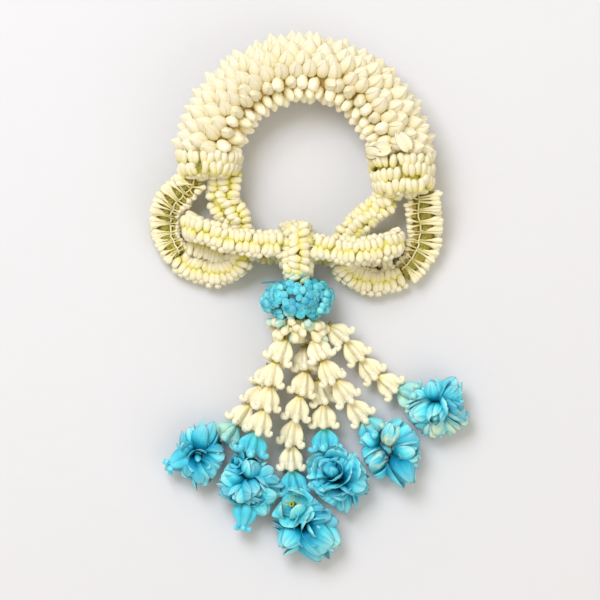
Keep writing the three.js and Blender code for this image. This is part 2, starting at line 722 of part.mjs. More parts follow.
const letters = Object.keys(strands);
letters.forEach((letter, order) => {
  const strand = strands[letter];
  const joints = strand.joints.map((joint) => vec(...joint));
  const leads = strand.leads.map((lead) => vec(...lead));
  const middle = vec(...strand.middle);
  const lastJoint = joints[joints.length - 1];
  const threadEnd = middle.clone().sub(lastJoint).setLength(middle.distanceTo(lastJoint) - 1.5).add(lastJoint);
  const thread = Thread.through([tasselRoute.frame(strand.leaves).point, ...leads, ...joints, threadEnd]);
  const tunnel = thread.tunnel();
  tasselThreads = tasselThreads.add(thread.solid());
  if (strand.leaves < SKIRT_END) addPiece("skirt", skirt.subtract(tunnel), "small_bud");

  for (let k = 0; k + 1 < joints.length; k++) {
    const span = joints[k + 1].clone().sub(joints[k]);
    const dyed = k + 2 === joints.length;
    const name = dyed ? `dyed_crown_${letter}` : `crown_${letter}${k + 1}`;
    const stretched = crownFlower.clone().scale(1, 1, span.length() / CROWN_FLOWER_LENGTH);
    const mesh = addPiece(name, solidOf(stretched), dyed ? "dyed_pale" : "crown");
    mesh.position.copy(joints[k]);
    mesh.quaternion.setFromUnitVectors(vec(0, 0, 1), span.normalize());
    mesh.rotateZ(0.6 * k + order);
  }

  let cluster = clusterSolid(lastJoint, middle, strand.blossoms, 101 + order);
  for (const near of [letters[order - 1], letters[order + 1]])
    if (near) cluster = cluster.subtract(beyondHalfway(middle, vec(...strands[near].middle)));
  addPiece(`dyed_cluster_${letter}`, cluster.subtract(tunnel).subtract(table), "dyed");
});
addPiece("tassel_threads", tasselThreads, "thread");

// The part's origin is the middle of its footprint, on the table.
const box = new THREE.Box3().setFromObject(garland, true);
const middleOfBox = box.getCenter(vec(0, 0, 0));
garland.position.set(-middleOfBox.x, -middleOfBox.y, -box.min.z);

const part = new THREE.Group();
part.add(garland);

export default part;
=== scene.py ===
"""Dresses a hand garland of fresh flowers, laid flat on a pale table.

The garland is an arch of jasmine buds with a collar of small buds at each end, two rings and a doubled loop
of small buds, a knot, a dyed band with a skirt, and six threads of crown flowers that end in dyed jasmine.
Sizes are millimetres in the layout's own frame, whose zero is the centre of the arch on the table. Angles are
radians unless a name ends in deg. A finish's colours are red, green and blue from 0 to 255, as on a screen.
"""

from __future__ import annotations

import logging
import math
import sys
from collections.abc import Callable, Iterator, Sequence
from dataclasses import dataclass, replace
from enum import Enum

import bpy
import numpy as np
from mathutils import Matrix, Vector
from numpy.typing import NDArray

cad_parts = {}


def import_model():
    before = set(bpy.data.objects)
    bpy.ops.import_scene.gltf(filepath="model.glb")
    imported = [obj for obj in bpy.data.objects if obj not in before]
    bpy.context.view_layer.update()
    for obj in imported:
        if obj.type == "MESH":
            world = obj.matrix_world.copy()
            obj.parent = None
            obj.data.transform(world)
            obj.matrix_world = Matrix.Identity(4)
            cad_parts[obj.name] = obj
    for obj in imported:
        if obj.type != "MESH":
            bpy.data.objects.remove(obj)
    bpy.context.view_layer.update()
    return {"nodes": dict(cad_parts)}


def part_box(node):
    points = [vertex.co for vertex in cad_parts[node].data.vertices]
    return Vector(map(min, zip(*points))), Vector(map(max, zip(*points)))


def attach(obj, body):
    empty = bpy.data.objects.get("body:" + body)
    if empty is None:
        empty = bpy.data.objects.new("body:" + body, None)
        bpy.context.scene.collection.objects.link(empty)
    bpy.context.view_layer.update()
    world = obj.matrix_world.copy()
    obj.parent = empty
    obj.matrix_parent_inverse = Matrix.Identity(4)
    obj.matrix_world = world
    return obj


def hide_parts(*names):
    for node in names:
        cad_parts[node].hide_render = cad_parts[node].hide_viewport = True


Array = NDArray[np.float64]
Flags = NDArray[np.bool_]
Colour = tuple[float, float, float]
Stops = tuple[tuple[float, float, float, float], ...]
Point = tuple[float, float, float]
Pair = tuple[float, float]
Random = np.random.Generator

LOG = logging.getLogger("garland")
METRES = 0.001
BODY = "root"
Z_AXIS = np.array([0.0, 0.0, 1.0])
TABLE_SKIN = 0.05  # The lowest flowers' height over the table.
JOINT_GAP = 1.1  # How far past a joint a root or a neck begins.
ANY_TURN = 6.0  # The widest turn that a flower is given by chance.
SMALL_HALF = (1.95, 2.4)  # Half the width of a small bud that stands out on its own.


def unit(vectors: Array) -> Array:
    """Scales vectors to length one."""
    return vectors / np.maximum(np.linalg.norm(vectors, axis=-1, keepdims=True), 1e-9)


def smooth_step(value: Array | float, low: float, high: float) -> Array | float:
    """Rises smoothly from 0 at low to 1 at high."""
    share = np.clip((value - low) / (high - low), 0.0, 1.0)
    return share * share * (3 - 2 * share)


def spiral(count: int) -> Array:
    """Gives angles that spread evenly, as seeds do in a flower's head."""
    return np.arange(count) * math.pi * (3 - math.sqrt(5))


def jittered(random: Random, values: Array, spread: float) -> Array:
    """Moves each value by chance, at most this far."""
    return values + random.uniform(-spread, spread, len(values))


def grid(rows: int, columns: int) -> tuple[NDArray[np.int64], NDArray[np.int64]]:
    """Gives the row and the column of every cell."""
    row, column = np.meshgrid(np.arange(rows), np.arange(columns))
    return row.ravel(), column.ravel()


def linear(colour: Colour) -> Colour:
    """Turns a colour as a screen shows it into shares of light."""
    parts = [part / 255 for part in colour]
    return tuple(part / 12.92 if part <= 0.04045 else ((part + 0.055) / 1.055) ** 2.4 for part in parts)


# Routes


@dataclass(frozen=True)
class Stations:
    """Places along a route, each with its ways along, to the side and up."""

    point: Array
    along: Array
    side: Array
    up: Array

    def across(self, angle: Array) -> Array:
        """Gives the way out from the route at an angle from its side towards its up."""
        return self.side * np.cos(angle)[:, None] + self.up * np.sin(angle)[:, None]

    def offset(self, right: Array, high: Array) -> Array:
        """Gives the places this far to the side and up."""
        return self.point + self.side * right[:, None] + self.up * high[:, None]


class Route:
    """A smooth line that a strand and its thread follow."""

    def __init__(self, dense: Array, sideways: Point | None = None) -> None:
        """Measures a line of close points.

        Args:
            dense: The points.
            sideways: Kept level across the strand where it turns over on itself.
        """
        self.dense = dense
        self.sideways = None if sideways is None else np.array(sideways)
        self.marks = np.concatenate([[0.0], np.cumsum(np.linalg.norm(np.diff(dense, axis=0), axis=1))])
        self.length = float(self.marks[-1])
        self.headings = unit(np.gradient(dense, self.marks, axis=0))

    @classmethod
    def through(
        cls, points: Sequence[Sequence[float]], sideways: Point | None = None, steps: int = 40
    ) -> Route:
        """Makes the centripetal curve through points.

        Args:
            points: What it passes through.
            sideways: As for the route itself.
            steps: Close points for each stretch.

        Returns:
            The route.
        """
        given = np.array(points, float)
        padded = np.vstack([2 * given[0] - given[1], given, 2 * given[-1] - given[-2]])
        share = np.linspace(0, 1, steps, endpoint=False)[:, None]
        square, cube = share**2, share**3
        dense = []
        for a, b, c, d in zip(padded, padded[1:], padded[2:], padded[3:]):
            pairs = ((a, b), (b, c), (c, d))
            before, here, after = (math.sqrt(float(np.linalg.norm(q - p))) for p, q in pairs)
            leave = ((b - a) / before - (c - a) / (before + here) + (c - b) / here) * here
            arrive = ((c - b) / here - (d - b) / (here + after) + (d - c) / after) * here
            dense.append(
                b * (2 * cube - 3 * square + 1) + leave * (cube - 2 * square + share)
                + c * (3 * square - 2 * cube) + arrive * (cube - square)
            )
        return cls(np.vstack([*dense, given[-1:]]), sideways)

    @classmethod
    def straight(cls, start: Point, end: Point) -> Route:
        """Makes a straight route."""
        return cls(np.linspace(start, end, 40))

    def at(self, distances: Sequence[float] | Array) -> Stations:
        """Finds places by their distance along the route.

        Args:
            distances: Before its start and past its end the route runs straight on.

        Returns:
            The places.
        """
        distances = np.atleast_1d(np.asarray(distances, float))
        inside = np.clip(distances, 0, self.length)
        point, along = (
            np.stack([np.interp(inside, self.marks, column) for column in table.T], axis=1)
            for table in (self.dense, self.headings)
        )
        along = unit(along)
        point = point + along * (distances - inside)[:, None]
        if self.sideways is None:
            side = unit(np.cross(Z_AXIS, along))
        else:
            side = unit(self.sideways - along * (along @ self.sideways)[:, None])
        return Stations(point, along, side, np.cross(along, side))


# Forms


@dataclass(frozen=True)
class Form:
    """A shape to place many times, with what its finish reads at each point."""

    points: Array
    faces: tuple[NDArray[np.int64], ...]
    grow: Array
    across: Array

    def turned(self, angle: float) -> Form:
        """Turns the form about its Z axis.

        Args:
            angle: How far, to the left.

        Returns:
            The turned form.
        """
        cos, sin = math.cos(angle), math.sin(angle)
        turn = np.array([[cos, sin, 0], [-sin, cos, 0], [0, 0, 1]])
        return Form(self.points @ turn, self.faces, self.grow, self.across)


def joined(forms: Sequence[Form]) -> Form:
    """Puts forms together as one.

    Args:
        forms: What is put together, in order.

    Returns:
        The one form.
    """
    starts = np.cumsum([0, *(len(form.points) for form in forms[:-1])])
    faces = tuple(group + start for form, start in zip(forms, starts) for group in form.faces)
    points = np.vstack([form.points for form in forms])
    grow, across = (np.concatenate([getattr(form, key) for form in forms]) for key in ("grow", "across"))
    return Form(points, faces, grow, across)


def closed_skin(rings: Array, grow: Array, across: Array) -> Form:
    """Makes a closed body through rings of points.

    Args:
        rings: Rings by sides by three, in order from root to tip and turning to the left.
        grow: How far along each ring lies.
        across: Where round the body each side lies.

    Returns:
        The body, with its ends closed to their middles.
    """
    count, sides = rings.shape[:2]
    points = np.vstack([rings.reshape(-1, 3), rings[0].mean(axis=0), rings[-1].mean(axis=0)])
    index = np.arange(count * sides).reshape(count, sides)
    following = np.roll(index, -1, axis=1)
    wall = np.stack([index[:-1], following[:-1], following[1:], index[1:]], axis=-1).reshape(-1, 4)
    low = np.stack([np.full(sides, count * sides), following[0], index[0]], axis=1)
    high = np.stack([np.full(sides, count * sides + 1), index[-1], following[-1]], axis=1)
    return Form(
        points,
        (wall, np.vstack([low, high])),
        np.concatenate([np.repeat(grow, sides), [grow[0], grow[-1]]]),
        np.concatenate([np.tile(across, count), [0.5, 0.5]]),
    )


def round_rings(radius: Array, angle: Array, height: Array) -> Array:
    """Gives rings of points by their radius, angle and height."""
    height = np.broadcast_to(height, radius.shape)
    return np.stack([radius * np.cos(angle), radius * np.sin(angle), height], axis=-1)


@dataclass(frozen=True)
class BudShape:
    """A closed flower head one unit long and one unit in radius: petals overlap in a slow twist."""

    levels: tuple[Pair, ...]
    petals: int = 5
    steps: tuple[float, ...] = (0.0, 0.85)
    overlap: float = 0.1
    twist: float = 0.7
    point: float = 1.0
    lobed: float = 0.0

    def form(self) -> Form:
        """Builds the head along Z, its root at zero.

        Returns:
            The head.
        """
        heights, radii = np.array(self.levels).T
        local = np.tile(np.array(self.steps), self.petals)
        across = np.repeat(np.arange(self.petals), len(self.steps)) + local
        tucked = self.overlap * (1 - local) ** 1.5 + self.lobed * np.abs(2 * local - 1) ** 1.6
        angle = 2 * np.pi * across[None, :] / self.petals + self.twist * heights[:, None]
        radius = radii[:, None] * (1 - tucked[None, :] * (0.7 + 0.3 * heights[:, None]))
        form = closed_skin(round_rings(radius, angle, heights[:, None]), heights, across)
        form.points[-1, 2] = self.point
        return form


JASMINE_BUD = BudShape(
    levels=((0, 0.5), (0.1, 0.8), (0.22, 0.98), (0.34, 1.04), (0.47, 1.0), (0.59, 0.88), (0.7, 0.69),
            (0.8, 0.46), (0.89, 0.26), (0.96, 0.11)),
    petals=3, steps=(0.0, 0.07, 0.25, 0.45, 0.65, 0.85, 0.96), overlap=0.17, twist=1.3, lobed=0.1,
).form()
BLUNT_BUD = BudShape(
    levels=((0, 0.5), (0.12, 0.78), (0.28, 0.96), (0.45, 1.0), (0.6, 0.96), (0.74, 0.85), (0.86, 0.65),
            (0.94, 0.42), (0.985, 0.18)),
    petals=3, steps=(0.0, 0.07, 0.25, 0.45, 0.65, 0.85, 0.96), overlap=0.15, twist=1.2,
).form()
SMALL_BUD = BudShape(
    levels=((0, 0.36), (0.1, 0.64), (0.25, 0.87), (0.42, 1.0), (0.6, 1.04), (0.76, 0.96), (0.88, 0.76),
            (0.96, 0.44)),
    overlap=0.08, twist=0.9,
).form()
CLUB_BUD = BudShape(
    levels=((0, 0.3), (0.3, 0.33), (0.5, 0.42), (0.62, 0.72), (0.75, 1.0), (0.87, 0.94), (0.95, 0.6)),
    steps=(0.0, 0.8), overlap=0.08, twist=0.9,
).form()
ROUND_BUD = BudShape(
    levels=((0, 0.34), (0.25, 0.5), (0.45, 0.78), (0.6, 0.98), (0.74, 1.05), (0.87, 0.96), (0.96, 0.7),
            (0.99, 0.36)),
    petals=3, steps=(0.0, 0.1, 0.25, 0.42, 0.6, 0.77, 0.91), overlap=0.04, twist=0.4, point=0.84, lobed=0.5,
).form()
SEPALS = BudShape(
    levels=((0, 0.3), (0.4, 0.75), (1.0, 1.0), (0.8, 0.6), (0.55, 0.3)),
    steps=(0.0, 0.5), overlap=0.45, twist=0.0, point=0.5,
).form()


def tube(path: Array, radii: Array | float, sides: int = 7) -> Form:
    """Makes a round tube along a path.

    Args:
        path: The points it follows.
        radii: Its radius at each, or at all of them.
        sides: How many sides it has.

    Returns:
        The closed tube.
    """
    along = unit(np.gradient(path, axis=0))
    side = np.zeros_like(along)
    side[0] = unit(np.cross(along[0], Z_AXIS if abs(along[0] @ Z_AXIS) < 0.9 else np.array([1.0, 0, 0])))
    for k in range(1, len(path)):
        side[k] = unit(side[k - 1] - along[k] * (side[k - 1] @ along[k]))
    up = np.cross(along, side)
    angle = np.linspace(0, 2 * np.pi, sides, endpoint=False)
    ring = np.cos(angle)[None, :, None] * side[:, None] + np.sin(angle)[None, :, None] * up[:, None]
    rings = path[:, None] + np.broadcast_to(radii, len(path))[:, None, None] * ring
    return closed_skin(rings, np.linspace(0, 1, len(path)), np.linspace(0, 1, sides, endpoint=False))


# Meshes


@dataclass
class Spots:
    """Where the copies of a form stand: their origins and the three ways, with sizes, they are built on."""

    origin: Array
    basis: Array
    roll: Array | None = None

    def chosen(self, kept: Flags) -> Spots:
        """Keeps some of the places."""
        roll = None if self.roll is None else self.roll[kept]
        return Spots(self.origin[kept], self.basis[kept], roll)

    @classmethod
    def one(cls, origin: Array, basis: Array) -> Spots:
        """Gives a single place."""
        return cls(origin[None], basis[None])

    @classmethod
    def pointing(
        cls, origin: Array, axis: Array, toward: Array, size: Array | Sequence[float],
        roll: Array | float = 0.0,
    ) -> Spots:
        """Stands copies along axes.

        Args:
            origin: Their roots.
            axis: The way each points.
            toward: A way that its first side leans to.
            size: The lengths of its three ways.
            roll: A turn about its axis.

        Returns:
            The places.
        """
        z = unit(np.broadcast_to(axis, origin.shape))
        toward = np.broadcast_to(toward, origin.shape)
        x = unit(toward - z * np.sum(toward * z, axis=1, keepdims=True))
        y = np.cross(z, x)
        cos, sin = (np.broadcast_to(part, len(origin))[:, None] for part in (np.cos(roll), np.sin(roll)))
        size = np.broadcast_to(np.asarray(size, float), origin.shape)
        basis = np.stack([(cos * x + sin * y), (cos * y - sin * x), z], axis=1) * size[:, :, None]
        return cls(origin, basis)

    @classmethod
    def round(
        cls, origin: Array, axis: Array, toward: Array, half: Array | float, length: Array,
        roll: Array | float = 0.0,
    ) -> Spots:
        """Stands round copies along axes.

        Args:
            origin: Their roots.
            axis: The way each points.
            toward: A way that its first side leans to.
            half: Half its width.
            length: Its length.
            roll: A turn about its axis.

        Returns:
            The places.
        """
        half = np.broadcast_to(half, length.shape)
        return cls.pointing(origin, axis, toward, np.stack([half, half, length], axis=1), roll)

    def rolled(self, roll: Array) -> Spots:
        """Turns each form about its own axis inside its place, which keeps its flattened section."""
        cos, sin = np.cos(roll)[:, None], np.sin(roll)[:, None]
        return Spots(self.origin, self.basis, np.concatenate([cos, sin], axis=1))


class Heap:
    """Gathers placed forms into one mesh that replaces a plain solid."""

    def __init__(
        self, name: str, node: str, slot: str, fitted: Callable[[Array], Array] | None = None
    ) -> None:
        """Starts empty.

        Args:
            name: The new piece's name.
            node: The plain solid that it stands for.
            slot: The record's material slot; not used.
            fitted: Moves points clear of neighbours, if any.
        """
        self.name, self.node, self.slot, self.fitted = name, node, slot, fitted
        self.points: list[Array] = []
        self.faces: dict[int, list[NDArray[np.int64]]] = {}
        self.finish_of: dict[int, list[NDArray[np.int64]]] = {}
        self.values: dict[str, list[Array]] = {"grow": [], "across": [], "tint": [], "pale": []}
        self.finishes: list[Finish] = []
        self.size = 0

    def add(
        self, form: Form, spots: Spots, finish: Finish, tint: Array | float = 0.5, pale: Array | float = 0.0
    ) -> None:
        """Places copies of a form.

        Args:
            form: What is placed.
            spots: Where.
            finish: Its finish.
            tint: A number from 0 to 1 for each copy, by which its colour varies.
            pale: How much of its dye each copy has missed.
        """
        count, size = len(spots.origin), len(form.points)
        local = np.broadcast_to(form.points, (count, size, 3))
        if spots.roll is not None:
            cos, sin = (part[:, None] for part in spots.roll.T)
            x, y, z = np.moveaxis(local, 2, 0)
            local = np.stack([x * cos - y * sin, x * sin + y * cos, z], axis=2)
        placed = np.einsum("nvk,nkj->nvj", local, spots.basis) + spots.origin[:, None]
        self.points.append(placed.reshape(-1, 3))
        if finish not in self.finishes:
            self.finishes.append(finish)
        starts = self.size + np.arange(count) * size
        for group in form.faces:
            corners = group.shape[1]
            faces = (group[None] + starts[:, None, None]).reshape(-1, corners)
            self.faces.setdefault(corners, []).append(faces)
            index = np.full(len(faces), self.finishes.index(finish))
            self.finish_of.setdefault(corners, []).append(index)
        self.values["grow"].append(np.tile(form.grow, count))
        self.values["across"].append(np.tile(form.across, count))
        for key, value in (("tint", tint), ("pale", pale)):
            self.values[key].append(np.repeat(np.broadcast_to(value, count), size))
        self.size += count * size

    def add_one(self, form: Form, finish: Finish, tint: float = 0.5, pale: float = 0.0) -> None:
        """Adds a form as it stands."""
        self.add(form, Spots.one(np.zeros(3), np.eye(3)), finish, tint, pale)

    def add_varied(
        self, form: Form, spots: Spots, finish: Finish, random: Random,
        pale: Array | float = 0.0,
    ) -> None:
        """Places copies of a form whose tints are drawn by chance."""
        self.add(form, spots, finish, random.uniform(0, 1, len(spots.origin)), pale)

    def mesh(self, shift: Array) -> bpy.types.Mesh:
        """Makes the mesh.

        Args:
            shift: From the layout's frame to the part's.

        Returns:
            The mesh, in metres and with its finishes.
        """
        points = np.vstack(self.points)
        if self.fitted is not None:
            points = self.fitted(points)
        points[:, 2] = np.maximum(points[:, 2], TABLE_SKIN)
        mesh = bpy.data.meshes.new(self.name)
        mesh.vertices.add(len(points))
        mesh.vertices.foreach_set("co", ((points + shift) * METRES).astype(np.float32).ravel())
        groups = [np.vstack(self.faces[corners]) for corners in sorted(self.faces)]
        linked = np.concatenate([group.ravel() for group in groups])
        mesh.loops.add(len(linked))
        mesh.loops.foreach_set("vertex_index", linked.astype(np.int32))
        totals = np.concatenate([np.full(len(group), group.shape[1]) for group in groups])
        mesh.polygons.add(len(totals))
        starts = np.concatenate([[0], np.cumsum(totals)[:-1]])
        mesh.polygons.foreach_set("loop_start", starts.astype(np.int32))
        index = np.concatenate([np.concatenate(self.finish_of[corners]) for corners in sorted(self.faces)])
        mesh.polygons.foreach_set("material_index", index.astype(np.int32))
        mesh.update(calc_edges=True)
        mesh.validate()
        mesh.shade_smooth()
        for key, lists in self.values.items():
            values = np.concatenate(lists).astype(np.float32)
            mesh.attributes.new(key, "FLOAT", "POINT").data.foreach_set("value", values)
        for finish in self.finishes:
            mesh.materials.append(finish.material())
        LOG.info("%s: %d triangles", self.name, int(np.sum(totals - 2)))
        return mesh

    def seat(self, shift: Array) -> None:
        """Puts the piece in place of its plain solid.

        Args:
            shift: From the layout's frame to the part's.
        """
        piece = bpy.data.objects.new(self.name, self.mesh(shift))
        bpy.context.scene.collection.objects.link(piece)
        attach(piece, BODY)
        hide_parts(self.node)


# Finishes


class Recipe:
    """A material under construction. A tuple stands for a colour as a screen shows it."""

    def __init__(self, name: str) -> None:
        """Starts an empty material.

        Args:
            name: Its name.
        """
        self.material = bpy.data.materials.new(name)
        self.material.use_nodes = True
        self.tree = self.material.node_tree
        self.tree.nodes.clear()
        self.shader = self.node("ShaderNodeBsdfPrincipled")
        output = self.node("ShaderNodeOutputMaterial")
        self.tree.links.new(self.shader.outputs[0], output.inputs["Surface"])

    def fill(self, node: bpy.types.Node, inputs: dict[str | int, object]) -> None:
        """Sets a node's sockets to values, or joins them to outputs of other nodes.

        Args:
            node: Whose sockets they are.
            inputs: Values or outputs, by socket.
        """
        for key, value in inputs.items():
            if isinstance(value, bpy.types.NodeSocket):
                self.tree.links.new(value, node.inputs[key])
            else:
                node.inputs[key].default_value = value

    def node(
        self, kind: str, inputs: dict[str | int, object] | None = None, **settings: object
    ) -> bpy.types.Node:
        """Adds a node.

        Args:
            kind: Its type.
            inputs: Values or outputs of other nodes, by socket.
            settings: Its own properties.

        Returns:
            The node.
        """
        node = self.tree.nodes.new(kind)
        for key, value in settings.items():
            setattr(node, key, value)
        self.fill(node, inputs or {})
        return node

    def value(self, name: str) -> bpy.types.NodeSocket:
        """Reads a number that the mesh holds at each point."""
        return self.node("ShaderNodeAttribute", attribute_name=name).outputs["Fac"]

    def sum(self, operation: str, first: object, second: object = 0.0) -> bpy.types.NodeSocket:
        """Works out a number from one or two others."""
        return self.node("ShaderNodeMath", {0: first, 1: second}, operation=operation).outputs[0]

    def ranged(
        self, value: object, low: float, high: float, start: float = 0.0, end: float = 1.0
    ) -> bpy.types.NodeSocket:
        """Maps a number from low and high to start and end, and keeps it between them."""
        inputs = {"Value": value, "From Min": low, "From Max": high, "To Min": start, "To Max": end}
        return self.node("ShaderNodeMapRange", inputs).outputs[0]

    def ramp(self, value: object, stops: Stops) -> bpy.types.NodeSocket:
        """Colours a number by stops from 0 to 1.

        Args:
            value: The number.
            stops: A place and a colour each.

        Returns:
            The colour.
        """
        node = self.node("ShaderNodeValToRGB", {"Fac": value})
        elements = node.color_ramp.elements
        while len(elements) < len(stops):
            elements.new(0.5)
        for element, (place, *colour) in zip(elements, stops):
            element.position = place
            element.color = (*linear(colour), 1.0)
        return node.outputs["Color"]

    def mix(self, share: object, first: object, second: object, blend: str = "MIX") -> bpy.types.NodeSocket:
        """Mixes two colours.

        Args:
            share: How much of the second there is.
            first: One colour.
            second: The other.
            blend: How they mix.

        Returns:
            The mixed colour.
        """
        pair = [(*linear(part), 1.0) if isinstance(part, tuple) else part for part in (first, second)]
        inputs = {0: share, 6: pair[0], 7: pair[1]}
        return self.node("ShaderNodeMix", inputs, data_type="RGBA", blend_type=blend).outputs[2]

    def along_petal(self, wide: float, long: float) -> bpy.types.NodeSocket:
        """Gives a place on a petal, stretched across and along it and different on each.

        Args:
            wide: The stretch across it.
            long: The stretch along it.

        Returns:
            The place, for a texture to read.
        """
        stretches = (("across", wide), ("grow", long), ("tint", 97.0))
        parts = [self.sum("MULTIPLY", self.value(name), stretch) for name, stretch in stretches]
        return self.node("ShaderNodeCombineXYZ", dict(enumerate(parts))).outputs[0]

    def place(self) -> bpy.types.NodeSocket:
        """Gives the place in the object, in metres."""
        return self.node("ShaderNodeTexCoord").outputs["Object"]

    def noise(self, vector: object, scale: float, detail: float = 2.0) -> bpy.types.NodeSocket:
        """Gives soft noise."""
        inputs = {"Vector": vector, "Scale": scale, "Detail": detail}
        return self.node("ShaderNodeTexNoise", inputs).outputs["Fac"]

    def finish(
        self, colour: object, roughness: object, bump: tuple[object, float] | None = None, **more: object
    ) -> bpy.types.Material:
        """Joins the colour, the roughness and the bump to the shader.

        Args:
            colour: The surface's colour.
            roughness: Its roughness.
            bump: A height and its depth in metres.
            more: Other sockets by name, with _ for a space.

        Returns:
            The finished material.
        """
        self.fill(self.shader, {"Base Color": colour, "Roughness": roughness})
        if bump is not None:
            height, depth = bump
            node = self.node("ShaderNodeBump", {"Height": height, "Strength": 1.0, "Distance": depth})
            self.tree.links.new(node.outputs["Normal"], self.shader.inputs["Normal"])
        self.fill(self.shader, {key.replace("_", " "): value for key, value in more.items()})
        return self.material


@dataclass(frozen=True)
class Finish:
    """A surface's finish, made once and shared by every piece that has it."""

    name: str

    def material(self) -> bpy.types.Material:
        """Gives the finish's material, and makes it the first time."""
        made = bpy.data.materials.get(self.name)
        return made if made is not None else self.make(Recipe(self.name))

    def make(self, recipe: Recipe) -> bpy.types.Material:
        """Fills in the recipe and gives its material."""
        raise NotImplementedError


@dataclass(frozen=True)
class PetalFinish(Finish):
    """Fresh petals: they change colour from root to tip, with streaks along them and a soft glow."""

    stops: Stops
    streak: Colour
    missed: Colour
    streak_share: float = 0.3
    leaning: Colour = (255, 255, 255)
    leaning_share: float = 0.3
    roughness: float = 0.5
    specular: float = 0.4
    soft: float = 0.12
    soft_radius: Point = (1.0, 0.85, 0.6)
    soft_scale: float = 0.0012
    vein_depth: float = 0.00006
    veins: float = 9.0
    patch: float = 1.0
    patch_blur: float = 0.0
    place_scale: float = 0.0
    # The seam colour is painted along petal edges: where dark, it is painted shade in the creases between
    # petals; where pale, it is painted rim light.
    seam_shade_and_light: Colour = (0, 0, 0)
    seam_shade_and_light_width: float = 0.06
    seam_shade_and_light_share: float = 0.0
    streak_band: Pair = (0.42, 0.68)
    leaning_from: float = 0.35
    missed_band: Pair = (0.42, 0.62)
    mottle_scale: float = 420.0
    gloss_spread: Pair = (0.08, 0.1)

    def make(self, recipe: Recipe) -> bpy.types.Material:
        """Colours the petal by its length, streaks, lean and missed dye, and paints its seams: painted shade
        where the seam colour is dark, painted rim light where it is pale.

        Args:
            recipe: The material to fill in.

        Returns:
            The finished material.
        """
        colour = recipe.ramp(recipe.value("grow"), self.stops)
        streaks = recipe.noise(recipe.along_petal(self.veins, 1.6), 1.0, 3.0)
        share = recipe.ranged(streaks, *self.streak_band, 0.0, self.streak_share)
        colour = recipe.mix(share, colour, self.streak)
        varied = recipe.ranged(recipe.value("tint"), self.leaning_from, 1.0)
        leaning = recipe.sum("MULTIPLY", varied, self.leaning_share)
        colour = recipe.mix(leaning, colour, self.leaning)
        if self.place_scale:
            patches = recipe.noise(recipe.place(), self.place_scale, 1.0)
        else:
            patches = recipe.noise(recipe.along_petal(self.patch, 2.4), 1.0, 2.0)
        reach = recipe.sum("ADD", patches, recipe.sum("SUBTRACT", recipe.value("pale"), 0.5))
        low, high = self.missed_band
        colour = recipe.mix(recipe.ranged(reach, low, high + self.patch_blur), colour, self.missed)
        # Painted seams: a band at each petal's edge takes the seam colour, as painted shade in creases or
        # painted rim light on rims.
        middle = recipe.sum("SUBTRACT", recipe.sum("FRACT", recipe.value("across")), 0.5)
        edge = recipe.sum("ABSOLUTE", middle)
        seam_shade_and_light = recipe.ranged(edge, 0.5 - self.seam_shade_and_light_width, 0.5, 0.0, self.seam_shade_and_light_share)
        colour = recipe.mix(seam_shade_and_light, colour, self.seam_shade_and_light)
        mottle = recipe.noise(recipe.place(), self.mottle_scale, 2.0)
        smoother, rougher = self.gloss_spread
        gloss = recipe.ranged(mottle, 0.3, 0.7, self.roughness - smoother, self.roughness + rougher)
        return recipe.finish(
            colour, gloss, (streaks, self.vein_depth), Subsurface_Weight=self.soft,
            Subsurface_Radius=self.soft_radius, Subsurface_Scale=self.soft_scale,
            Specular_IOR_Level=self.specular,
        )


@dataclass(frozen=True)
class DyedFinish(PetalFinish):
    """Petals that took up turquoise dye, smoother and less translucent than the white ones."""

    roughness: float = 0.34
    specular: float = 0.12
    soft: float = 0.08
    soft_radius: Point = (0.5, 0.9, 1.0)
    veins: float = 7.0


@dataclass(frozen=True)
class GreenFinish(Finish):
    """Sepals and stalk ends: fresh green with brown where they dry. The cores painted with shade take it too.
    """

    fresh: Colour
    dry: Colour
    dry_share: float = 0.8

    def make(self, recipe: Recipe) -> bpy.types.Material:
        """Blotches the green with brown, darker at the root.

        Args:
            recipe: The material to fill in.

        Returns:
            The finished material.
        """
        blotches = recipe.noise(recipe.along_petal(5.0, 3.0), 1.0, 3.0)
        share = recipe.ranged(blotches, 0.35, 0.65, 0.0, self.dry_share)
        colour = recipe.mix(share, self.fresh, self.dry)
        edge = recipe.ranged(recipe.value("grow"), 0.2, 1.0, 0.75, 1.15)
        light = recipe.node("ShaderNodeCombineColor", {0: edge, 1: edge, 2: edge}).outputs[0]
        colour = recipe.mix(1.0, colour, light, "MULTIPLY")
        bump = (blotches, 0.0001)
        return recipe.finish(colour, 0.55, bump, Subsurface_Weight=0.1, Subsurface_Scale=0.001)


@dataclass(frozen=True)
class ThreadFinish(Finish):
    """Twisted cotton thread."""

    colour: Colour
    shade: Colour

    def make(self, recipe: Recipe) -> bpy.types.Material:
        """Winds the strands round the thread.

        Args:
            recipe: The material to fill in.

        Returns:
            The finished material.
        """
        inputs = {"Vector": recipe.place(), "Scale": 900.0, "Distortion": 1.5, "Detail": 2.0}
        strands = recipe.node("ShaderNodeTexWave", inputs, bands_direction="DIAGONAL").outputs["Fac"]
        colour = recipe.mix(strands, self.shade, self.colour)
        return recipe.finish(colour, 0.85, (strands, 0.00008), Sheen_Weight=0.3)


@dataclass(frozen=True)
class TableFinish(Finish):
    """A matte pale table."""

    colour: Colour
    grain: Colour

    def make(self, recipe: Recipe) -> bpy.types.Material:
        """Adds a faint grain.

        Args:
            recipe: The material to fill in.

        Returns:
            The finished material.
        """
        share = recipe.ranged(recipe.noise(recipe.place(), 90.0, 4.0), 0.3, 0.7, 0.0, 0.04)
        colour = recipe.mix(share, self.colour, self.grain)
        return recipe.finish(colour, 0.7, Specular_IOR_Level=0.2)


